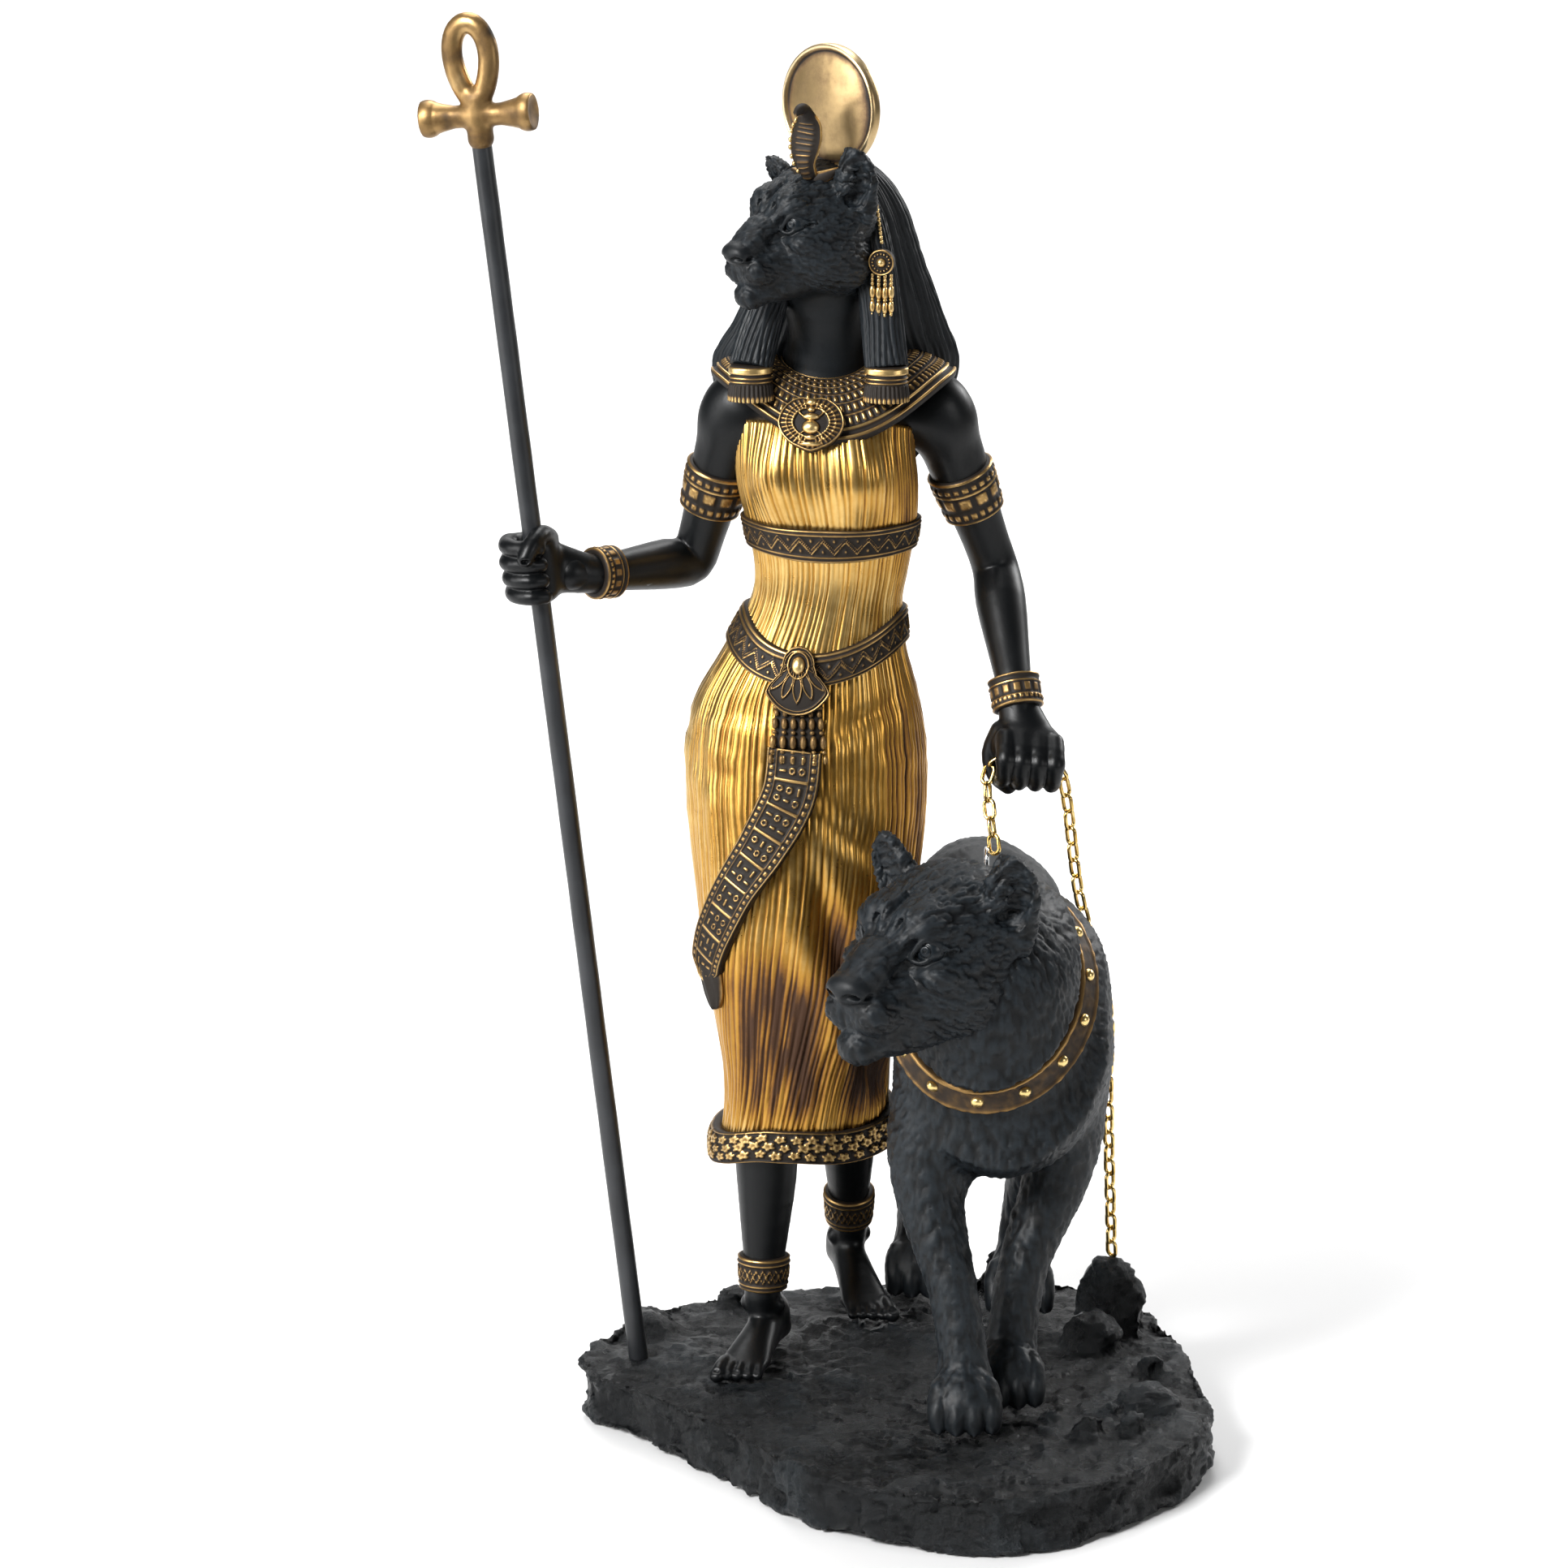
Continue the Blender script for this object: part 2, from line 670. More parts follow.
STEEL = chain_metal("ring_steel", (0.42, 0.43, 0.44), (0.85, 0.86, 0.88))
PLAIN = 0.4  # the relief of smooth skin


# The two lion heads, each in millimetres for a skull 22.4 wide, looking along -Y from the middle of the skull.

NOSE_TIP = column(0, -22.7, -5.4)
EYE = (5.7, -9.75, 0.1)  # her left eye; the other is its mirror image
EYE_RADIUS = 2.28


def lion_face(carving, ear_tips):
    """The skull, face, jaw and ears. The fur is laid on later."""
    carving.add(egg([0, 1, 0.2], [10.6, 12, 10.4]))
    carving.add(egg([0, -6.2, 1.4], [8.2, 6.8, 5.4]), 3)
    bridge = [[0, -8, 1.2, 4.8, 3.6], [0, -13.4, -0.9, 3.9, 2.9], [0, -16.4, -2.8, 3.7, 2.7],
              [0, -18.6, -4.5, 3.5, 2.4], [0, -20.2, -5.5, 3.0, 2.0]]
    carving.add(limb(bridge), 2)
    carving.add(limb([[0, -6, -6.6, 8.4, 6.4], [0, -11, -7.6, 6.6, 5.4], [0, -15.6, -8.6, 4.8, 4.2]]), 2.4)
    carving.add(limb([[0, -2, -9.8, 7.8, 5.0], [0, -9, -12.0, 5.8, 4.0], [0, -14.5, -13.2, 4.0, 2.9]]), 2)
    carving.add(egg([0, -16.9, -14.1], [3.3, 3.0, 2.8]), 1)
    carving.add(egg([0, -20.8, -5.3], [3.1, 1.95, 1.95]), 0.8)
    for side in (-1, 1):
        carving.add(egg([side * 6.6, -2.8, -5.8], [5.0, 7.4, 7.0]), 2.4)
        carving.add(egg([side * 7.2, 1.6, -9.4], [3.9, 5.4, 4.6]), 2.5)
        carving.add(egg([side * 6.5, -8.2, -3.5], [3.4, 4.2, 2.4], turn=side * 34), 1.8)
        carving.add(egg([side * 3.4, -9.4, 4.2], [3.0, 3.2, 2.2]), 2)
        brow = [[side * 2.6, -12.2, 1.2, 0.8], [side * 4.9, -11.3, 2.5, 1.2], [side * 7.2, -9.4, 2.9, 0.9]]
        carving.add(limb(brow), 1.9)
        carving.add(egg([side * 2.5, -16.4, -9.1], [3.2, 3.9, 3.2], turn=side * 16), 0.9)
        carving.add(egg([side * 2.2, -19.8, -5.9], [1.5, 2.0, 1.3]), 0.5)
    carve_mouth_and_nose(carving)
    for side, tip in zip((-1, 1), ear_tips):
        carve_eye(carving, side)
        set_ear(carving, side, column(*tip))


def carve_mouth_and_nose(carving):
    carving.cut(limb([[0, -22.6, -7.6, 0.34], [0, -22.0, -9.6, 0.4], [0, -21.2, -11.8, 0.4]]), 0.5)
    carving.cut(limb([[0, -14.0, 1.9, 0.35], [0, -12.1, 4.4, 0.4], [0, -8.6, 6.6, 0.3]]), 1.4)
    for side in (-1, 1):
        lips = [[0, -21.9, -12.0, 0.36], [side * 1.7, -21.2, -12.3, 0.42], [side * 3.6, -18.6, -12.2, 0.5],
                [side * 5.2, -15.2, -12.0, 0.5], [side * 6.4, -12.8, -12.2, 0.65],
                [side * 7.2, -10.6, -13.0, 0.4]]
        carving.cut(limb(lips), 0.4)
        nostril = [[side * 0.9, -22.2, -7.3, 0.34], [side * 1.25, -22.1, -6.4, 0.5],
                   [side * 2.3, -21.2, -6.1, 0.62], [side * 3.4, -19.2, -6.1, 0.5]]
        carving.cut(limb(nostril), 0.3)
        carving.cut(limb([[side * 4.7, -13.6, -2.3, 0.6], [side * 4.5, -16.6, -5.0, 0.5]]), 1.6)
        frown = [[side * 1.5, -14.2, 1.5, 0.2], [side * 2.2, -13.0, 3.0, 0.25], [side * 2.4, -11.4, 4.6, 0.2]]
        carving.cut(limb(frown), 1.0)


def carve_eye(carving, side):
    """The socket of an eye, with lids and a tear line."""
    carving.cut(egg([side * 5.9, -12.3, 0.1], [2.4, 1.3, 1.7], turn=side * 28), 0.6)
    carving.add(egg([side * EYE[0], EYE[1], EYE[2]], [2.1, 2.1, 2.0]), 0.1)
    inner, outer = [side * 4.1, -12.6, -1.4], [side * 8.0, -9.6, 0.7]
    over, under = [side * 6.1, -11.75, 1.75], [side * 6.2, -11.65, -1.5]
    carving.add(limb([[*inner, 0.36], [*over, 0.5], [*outer, 0.42], [side * 9.0, -7.8, 0.6, 0.3]],
                     steps=6), 0.2)
    carving.add(limb([[*inner, 0.32], [*under, 0.4], [*outer, 0.36]], steps=6), 0.25)
    carving.cut(limb([[side * 4.0, -12.9, -1.7, 0.34], [side * 3.3, -14.6, -3.6, 0.3]]), 0.5)


def eyes(name, node, place, spot, size):
    """Two eyeballs, each with a cut ring round the iris and a small pupil."""
    heap = Heap()
    turns = full_turn(32)
    upright = column(0, 0, 1)
    for side in (-1, 1):
        middle = column(side * EYE[0], EYE[1], EYE[2])
        sight = unit(column(side * 0.27, -0.96, 0))
        level = unit(np.cross(sight, upright))
        ring = level * np.cos(turns)[:, None] + upright * np.sin(turns)[:, None]
        rings, marks = [], []
        for away in (4, 9, 13, 17, 21, 24, 27, 31, 38, 48, 60, 75, 90):
            cut = 0.13 * math.exp(-((away - 24) / 2.6) ** 2) + 0.12 * math.exp(-(away / 9.0) ** 2)
            lean = math.radians(away)
            rings.append(middle + (EYE_RADIUS - cut) * (ring * math.sin(lean) + sight * math.cos(lean)))
            marks.append(0.6 - cut * 4)
        points, faces = capped(rings)
        heap.add((points * size) @ place.T + spot, faces, np.append(np.repeat(marks, 32), [0.2, 0.5]))
    heap.set_down(name, EYE_BLACK, node)


def set_ear(carving, side, tip):
    """A cupped ear that opens forward and out, with hair at the inner edge of the left one."""
    aim = math.radians(39 if side > 0 else 8)
    outward = column(side * math.cos(aim), math.sin(aim), 0)
    opening = column(side * math.sin(aim), -math.cos(aim), 0)
    foot = column(side * 9.6, 1.7, 3.4)
    rows = [(0.0, 3.5, 2.4), (0.38, 4.3, 2.2), (0.72, 3.5, 1.8), (0.93, 1.7, 1.1)]
    shell = [[*between(foot, tip, t), a, b] for t, a, b in rows]
    inward = opening * 1.75
    cup = [[*(between(foot, tip, 0.12 + t * 0.86) + inward + outward * 0.2), a * 0.72, b * 0.8]
           for t, a, b in rows]
    carving.add(limb(shell, side=outward), 1.2)
    carving.cut(limb(cup, side=outward), 0.5)
    carving.add(limb([[*(foot + outward * 2.8), 1.6], [side * 12.0, 3.0, 0.6, 1.2]]), 1.4)
    for k in range(12 if side > 0 else 0):
        share = k / 11
        root = column(6.6 + 0.25 * k, -1.9 + 0.16 * k, 4.6 + (tip[2] - 4.4) * share ** 0.9)
        reach = 5.2 - 2.2 * share + 0.6 * math.sin(k * 2.4)
        lean = column(0.86, 0.3, 0.42 - 0.5 * share)
        bend = root + lean * reach * 0.5 + opening * 0.7
        carving.add(limb([[*root, 0.6], [*bend, 0.6], [*(root + lean * reach), 0.22]]), 0.15)


def face_flow(points):
    """Fur lies back from the nose, and down and back on the cheeks."""
    away = points - (NOSE_TIP + column(0, -6, 1))
    away[:, 2] -= 0.35 * np.abs(points[:, 0])
    return unit(away)


def fur_amount(points):
    """How deep the fur is on the face: none on the nose and eyes, most on the cheeks and ears."""
    nose = soft_step(np.linalg.norm((points - column(0, -21.4, -5.6)) / column(3.4, 3, 2.1), axis=1), 0.9, 1.5)
    amount = nose * (0.6 + 0.4 * soft_step(points[:, 1], -16, -6))
    for side in (-1, 1):
        amount *= soft_step(np.linalg.norm(points - column(side * 6.0, -11.6, -0.1), axis=1), 1.9, 3.2)
    return amount


def whisker_marks(points):
    """Rows of small pits on the whisker pads, with fine grooves that run back from them."""
    pits = np.zeros(len(points))
    for side, row, k in ((side, row, k) for side in (-1, 1) for row in range(4) for k in range(5)):
        at = column(side * (2.2 + k * 1.0 + row * 0.1), -20.9 + k * 1.3 + row * 0.1,
                    -8.0 - row * 0.95 + k * 0.12)
        off = (points - at) * column(1, 0.4, 1)
        pits = np.maximum(pits, np.exp(-(off ** 2).sum(1) / 0.09))
    x, y, z = np.abs(points[:, 0]), points[:, 1], points[:, 2]
    lines = 0.5 + 0.5 * np.cos(TURN * (z + 0.28 * y) / 0.95)
    pad = soft_step(3.9 - np.abs(y + 15.6), 0, 1.5) * soft_step(2.4 - np.abs(z + 9.2), 0, 0.8)
    return pits, lines ** 2 * pad * (x > 2.6)


def lion_head(name, node, neck, spot, turn, raised, size, low, high, ear_tips, bare_neck=False):
    """A head on its neck, carved, furred and set on its figure, with the nose raised by some degrees."""
    place = turned(turn) @ nodded(-raised)
    carving = Carving(low, high, HEAD_CELL)
    lion_face(carving, ear_tips)
    rows = [[*(place.T @ (column(*row[:3]) - spot) / size), *(v / size for v in row[3:])] for row in neck]
    carving.add(limb(rows, side=place.T @ column(1, 0, 0)), 3.0)
    if not bare_neck:
        carving.cut(round_strap(place, size, spot), 1.0)
    points, faces = carving.skin()
    normals = normals_of(points, faces)
    amount = fur_amount(points)
    if bare_neck:
        below = -13.2 - points[:, 2] - 0.28 * (points[:, 1] + 4)
        amount *= 1 - soft_step(below, 0, 1.6) * soft_step(points[:, 1], -13, -9.5)
    fur = coat_of_fur(points, normals, face_flow(points.copy()), (3.5, 0.42, 11), (2.0, 0.32, 29))
    pits, lines = whisker_marks(points)
    lift = (fur - 0.42) * amount * 0.85 - pits * 0.4 - lines * 0.12 + rough(points, 3.0) * 0.07
    points = points + normals * lift[:, None]
    relief = np.clip(0.3 + (fur - 0.35) * amount * 2.0 - pits * 0.6 - lines * 0.25, 0, 1)
    set_down(name, (points * size) @ place.T + spot, faces, relief, FUR_BLACK, node)
    eyes(name.replace("head", "eyes"), node, place, spot, size)


# The lioness.

SPINE = [
    [-1.6, 54, 78, 8, 11], [-2, 47, 79, 14.5, 18], [-2, 34, 79, 17.3, 21], [-1, 17, 76.5, 16, 19],
    [0, 0, 75.5, 18, 22], [1, -14, 74, 21, 24.6], [0.6, -24, 70, 19.6, 23.4], [-1, -34, 67, 11.5, 14.5],
]
LION_LEGS = {
    "front_right": [[-11, -17, 70, 9.5, 13.5], [-14.4, -22, 56, 7.8, 9.6], [-14, -27, 43, 6.3, 6.9],
                    [-10, -33, 28, 4.9, 5.5], [-8, -36.6, 17, 4.8, 5], [-7.4, -38, 10, 5.2, 5.6]],
    "front_left": [[14, -10, 68, 8.6, 13.5], [13.6, -12.6, 54, 7.6, 9.8], [10.5, -15, 41, 6.4, 7.2],
                   [5, -19.4, 27, 5.1, 5.7], [3, -21.8, 16, 4.9, 5.1], [2.4, -22.5, 10, 5.2, 5.6]],
    "hind_right": [[-8, 36, 74, 8.6, 17.5], [-9, 29.4, 54, 7.4, 13], [-12, 31.6, 39, 5.2, 7.2],
                   [-15.2, 41, 26, 3.9, 5.6], [-15.2, 43.6, 16, 4.1, 4.9], [-15, 43.5, 10, 4.6, 5.2]],
    "hind_left": [[8, 36, 74, 9.4, 17.5], [10, 25.4, 54, 8.2, 13], [9.2, 22.6, 39, 5.9, 8],
                  [7, 30, 26, 4.1, 5.8], [6.2, 33, 16, 4.2, 5], [6, 32.6, 10, 4.6, 5.2]],
}
PAWS = [[-7.4, -42], [1.8, -27], [-14.6, 39], [6, 28]]
TAIL = [[-1.6, 50, 90, 4.2], [0, 56, 80, 3.4], [3, 56, 62, 2.9],
        [5, 54, 44, 2.6], [9, 51, 30, 2.9], [13, 48, 24, 3.4]]
COLLAR_MIDDLE = column(-2.2, -23.7, 85.3)
COLLAR_SIZE = (19.2, 23.3)
COLLAR_AXIS = turned(-11) @ column(0, -math.cos(math.radians(40)), math.sin(math.radians(40)))
COLLAR_ACROSS = turned(-11) @ column(1, 0, 0)
COLLAR_DOWN = np.cross(COLLAR_ACROSS, COLLAR_AXIS)
COLLAR_WIDTH = 5.0


def round_strap(place=np.eye(3), size=1.0, spot=np.zeros(3)):
    """The room round the neck that the collar's strap needs, for a carving set at a spot, turned and sized."""
    axes = [place.T @ axis for axis in (COLLAR_ACROSS, COLLAR_DOWN, COLLAR_AXIS)]
    offsets = [axis.dot(spot - COLLAR_MIDDLE) for axis in (COLLAR_ACROSS, COLLAR_DOWN, COLLAR_AXIS)]

    def distance(x, y, z):
        u, v, w = (size * (a[0] * x + a[1] * y + a[2] * z) + off for a, off in zip(axes, offsets))
        far = np.sqrt((u / COLLAR_SIZE[0]) ** 2 + (v / COLLAR_SIZE[1]) ** 2)
        rise = np.maximum(np.abs(w) - COLLAR_WIDTH * 0.5, 0) * np.where(w > 0, 0.7, 0.42)
        rise = rise + np.where(w > 0, -1.6, 1.6) * soft_step(np.abs(w), 1, 3)
        rise = rise + 0.1 * np.maximum(-w - 4, 0) ** 2 + 0.15 * np.maximum(w - 6, 0) ** 2
        return np.maximum(np.abs(w + 5) - 17, (0.96 - far) * COLLAR_SIZE[0] + rise) / size

    middle = place.T @ (COLLAR_MIDDLE - spot) / size
    return [(middle - 34 / size, middle + 34 / size, distance)]


def lion_paw(carving, x, y):
    """A broad paw of four long toes, each ending in a short claw."""
    carving.add(limb([[x, y + 4.6, 7.4, 5.4, 6.0], [x, y + 0.6, 7.4, 6.4, 5.8],
                      [x, y - 2.4, 6.0, 6.4, 4.4]]), 1.6)
    for k in (-1.5, -0.5, 0.5, 1.5):
        tip = y - 6.2 + abs(k) * 1.2
        rows = [[x + k * 3.1, y - 0.2, 9.4, 1.9, 2.4], [x + k * 3.5, y - 3.2 + abs(k) * 0.9, 7.6, 2.1, 2.6],
                [x + k * 3.6, tip + 0.6, 4.9, 2.0, 2.7], [x + k * 3.5, tip, 2.7, 1.9, 2.2]]
        carving.add(limb(rows), 0.3)
        claw = [[x + k * 3.5, tip - 1.5, 2.6, 0.6], [x + k * 3.5, tip - 2.3, 1.5, 0.4]]
        carving.add(limb(claw), 0.5)


def lion_flow(points):
    """The coat lies back along the body and down the legs and chest."""
    x, y, z = points.T
    flow = np.stack([0 * x, 0 * x + 1.0, -0.45 - 0.2 * rough(points, 25.0, 2, 5)], 1)
    down = np.maximum(soft_step(62 - z, 0, 22), soft_step(-20 - y, 0, 16) * 0.8)[:, None]
    return unit(flow * (1 - down) + down * column(0, 0.12, -1))


def lioness_body():
    carving = Carving([-26, -58, -1.5], [28, 62, 113], BODY_CELL)
    carving.add(limb(SPINE))
    for side in (-1, 1):
        carving.add(egg([side * 12.4 + 1, -13, 78], [8.2, 12, 17], nod=-12), 3)
        carving.add(egg([side * 9.6 - 1.6, 37, 76], [7.6, 13.5, 17.5], nod=14), 3)
        carving.cut(limb([[side * 19 + 0.4, -1, 84, 1.6, 1.2], [side * 19.6, 0, 66, 1.4, 1.2]]), 3)
        carving.cut(limb([[side * 17.6 - 1.5, 24, 84, 1.5, 1.2], [side * 17.4 - 1, 20, 64, 1.5, 1.2]]), 3)
    carving.add(limb([[3, -6, 84, 18.2, 18.2], [0, -18, 90, 17.8, 18.6], [-3, -23, 92, 14.4, 15]]), 4)
    neck = [[*(COLLAR_MIDDLE + COLLAR_AXIS * t), COLLAR_SIZE[0] * s, COLLAR_SIZE[1] * s]
            for t, s in ((-9, 0.96), (0, 0.96), (5, 0.93))]
    carving.add(limb(neck, side=COLLAR_ACROSS), 3)
    for rows in LION_LEGS.values():
        carving.add(limb(rows), 3)
    carving.add(egg([-11.8, -21.5, 56], [7.2, 8.6, 13]), 6)
    carving.add(egg([13.8, -8, 56], [5.4, 7, 8]), 3)
    for x, y in ((-15.4, 45.6), (6.2, 35.4)):
        carving.add(egg([x, y, 25.4], [3.0, 3.6, 4.6]), 1.8)
    for x, y in PAWS:
        lion_paw(carving, x, y)
    carving.add(limb(TAIL), 2)
    carving.cut(round_strap(), 1.4)
    carving.cut(GROUND, 0.2)
    points, faces = carving.skin()
    normals = normals_of(points, faces)
    fur = coat_of_fur(points, normals, lion_flow(points), (5.0, 0.6, 41), (3.0, 0.48, 53))
    paw = soft_step(points[:, 2], 3, 13)
    mane = soft_step(-points[:, 1], 8, 26) * soft_step(points[:, 2], 44, 66)
    chest = soft_step(-points[:, 1], 4, 14)
    amount = 0.25 + 0.75 * paw * np.maximum(0.3 + 0.5 * chest, mane)
    muscle = rough(points * column(1, 0.5, 0.7), 11.0, 2, 9) * 0.6 * soft_step(points[:, 2], 12, 36)
    points = points + normals * ((fur - 0.42) * amount * 0.9 + muscle)[:, None]
    points[:, 2] = np.maximum(points[:, 2], 0)
    relief = np.clip(0.28 + (fur - 0.35) * amount * 2.0, 0, 1)
    set_down("lioness_body", points, faces, relief, FUR_BLACK, "lioness")
    neck = [[1.5, -12, 87, 14.4, 15], [0, -18, 90, 17.2, 18.2], [-5.4, -26, 93.5, 16.2, 16.8],
            [-9, -31, 97, 14.6, 14.6]]
    lion_head("lioness_head", "lioness", neck, LION_HEAD_AT, LION_HEAD_TURN, 6, LION_HEAD_SIZE, [-20, -26, -25],
              [18, 32, 17], [[-12.5, -1.1, 12.4], [11.9, -0.4, 12.9]])


def on_collar(turn, out, shift):
    """A point on the lioness's collar: round from her left, out from its line, along its axis."""
    across = COLLAR_ACROSS * (np.cos(turn) * (COLLAR_SIZE[0] + out))[..., None]
    down = COLLAR_DOWN * (np.sin(turn) * (COLLAR_SIZE[1] + out))[..., None]
    return COLLAR_MIDDLE + across + down + COLLAR_AXIS * (np.asarray(shift)[..., None] + 1.1)


def lioness_collar():
    """A beaten strap with a raised upper rim, and the ring that the chain is hooked to."""
    turn, v = np.meshgrid(full_turn(300), np.linspace(0, 1, 25), indexing="ij")
    flat = np.stack([turn * 21, v * COLLAR_WIDTH, 0 * v], -1)
    rim = np.maximum(ridge(v, 0.92, 0.11), ridge(v, 0.05, 0.07) * 0.55)
    beaten = rough(flat, 1.3, 3, 3)
    out = 0.3 + (0.5 - v) * 3.0 + 0.8 * rim + 0.16 * beaten
    outer = on_collar(turn, out, (v - 0.5) * COLLAR_WIDTH)
    edges = (np.array([[0.98, 0.02]]) - 0.5) * COLLAR_WIDTH + 0 * turn[:, :2]
    inner = on_collar(turn[:, :2], np.array([[-3.6, -1.4]]), edges)
    points, faces = looped(np.concatenate([outer, inner], 1))
    relief = with_back(np.clip(rim * 0.95 + 0.3 + beaten * 0.3, 0, 1))
    set_down("lioness_collar", points, faces, relief, BRONZE, "lioness")
    middle, turns, across = column(-2.8, -8, 108.4), full_turn(8), column(1, 0, 0)
    rings = []
    for t in full_turn(24):
        out = column(0, math.cos(t), math.sin(t))
        wire = out * np.cos(turns)[:, None] + across * np.sin(turns)[:, None]
        rings.append(middle + out * 2.2 + 0.44 * wire)
    points, faces = looped(np.array(rings))
    set_down("collar_ring", points, faces, np.ones(len(points)), STEEL, "lioness")


def collar_studs():
    """Round-headed studs at even steps along the middle of the strap."""
    growth = Growth("collar_studs", Studs=14, Stud_radius=0.00135, Half_width=0.0192, Half_height=0.0233,
                    Stand_off=0.0003)
    circle = growth.node("GeometryNodeCurvePrimitiveCircle", {"Resolution": 256, "Radius": 1.0})["Curve"]
    sockets = {"X": growth["Half width"], "Y": growth["Half height"], "Z": 1.0}
    size = growth.node("ShaderNodeCombineXYZ", sockets)[0]
    loop = growth.moved(growth.moved(circle, Rotation=(0.0, 0.0, math.radians(12))), Scale=size)
    marks = growth.node("GeometryNodeResampleCurve", {"Curve": loop, "Count": growth["Studs"]})[0]
    place = growth.node("GeometryNodeInputPosition")[0]
    out = growth.node("ShaderNodeVectorMath", {0: place}, operation="NORMALIZE")[0]
    facing = growth.node("FunctionNodeAlignRotationToVector", {"Vector": out}, axis="Z")[0]
    sockets = {"Segments": 16, "Rings": 10, "Radius": growth["Stud radius"]}
    ball = growth.node("GeometryNodeMeshUVSphere", sockets)["Mesh"]
    dome = growth.moved(ball, Scale=(1.0, 1.0, 0.85))
    lift = growth.node("ShaderNodeVectorMath", {0: out, "Scale": growth["Stand off"]}, operation="SCALE")[0]
    stood = growth.node("GeometryNodeSetPosition", {"Geometry": marks, "Offset": lift})[0]
    sockets = {"Points": stood, "Instance": dome, "Rotation": facing}
    studs = growth.node("GeometryNodeInstanceOnPoints", sockets)[0]
    turn = Matrix(np.stack([COLLAR_ACROSS, COLLAR_DOWN, -COLLAR_AXIS], 1).tolist()).to_euler()
    spot = (COLLAR_MIDDLE + COLLAR_AXIS * 0.6 + LIONESS_AT) / 1000
    strap = growth.moved(studs, Rotation=tuple(turn), Translation=tuple(spot))
    growth.grown(strap, "collar_studs", BRIGHT_GOLD, "lioness")


# The rock.

ROCK_HALF = (64.0, 68.0)
ROCK_TOP = 13.0
ROCK_OUTLINE = [
    [0.98, 0.1], [0.94, 0.36], [0.84, 0.7], [0.58, 0.92], [0.26, 0.98], [-0.1, 0.92], [-0.36, 0.86],
    [-0.6, 0.78], [-0.86, 0.62], [-1, 0.36], [-1, 0.12], [-0.85, -0.05], [-0.6, -0.34], [-0.36, -0.66],
    [-0.18, -0.82], [0.1, -0.94], [0.36, -0.93], [0.66, -0.78], [0.9, -0.5], [1, -0.2],
]
STONES = [
    [45, 33, 8.6, 8.2, 13.4], [41, 22, 7.4, 5.8, 6.6], [22.5, 58.4, 6, 4.2, 8], [13, 60, 4.4, 3, 5],
    [50, -14, 6.8, 4.6, 3.4], [37, -30, 4.4, 3.2, 4], [46, -27, 3.6, 3, 3], [-50, 34, 6, 7, 3.4],
    [31, -21, 2.6, 2.2, 2.2], [42, -19, 2.4, 2, 2], [52, 8, 3, 2.6, 2.4], [-34, 49, 4, 3.4, 2.6],
]


def stone(carving, x, y, half_width, half_length, height, seed):
    """A boulder: a rough lump with a few faces struck off it."""
    spin = seed * 47.0
    low = column(x - half_width * 1.15, y - half_length * 1.15, ROCK_TOP - height)
    high = column(x + half_width * 1.15, y + half_length * 1.15, ROCK_TOP + height * 1.12)
    axes = []
    for k in range(6):
        slant = 0.25 + math.sin(seed * 2.3 + k * 1.7) * 0.5
        turn = math.radians(spin + k * 61)
        reach = 0.78 + 0.16 * math.sin(seed + k * 2.9) ** 2
        axes.append((unit(column(math.cos(turn), math.sin(turn), slant)), reach))

    def distance(px, py, pz):
        q = ((px - x) / half_width, (py - y) / half_length, (pz - ROCK_TOP) / height)
        spot = np.stack(np.broadcast_arrays(px, py, pz), -1)
        lumps = rough(spot, 7.0, 3, seed) * 0.16
        far = np.sqrt(q[0] ** 2 + q[1] ** 2 + q[2] ** 2) - 1 + lumps
        for axis, reach in axes:
            far = np.maximum(far, axis[0] * q[0] + axis[1] * q[1] + axis[2] * q[2] - reach + lumps * 0.4)
        return far * min(half_width, half_length, height)

    carving.add([(low, high, distance)], 0.6)


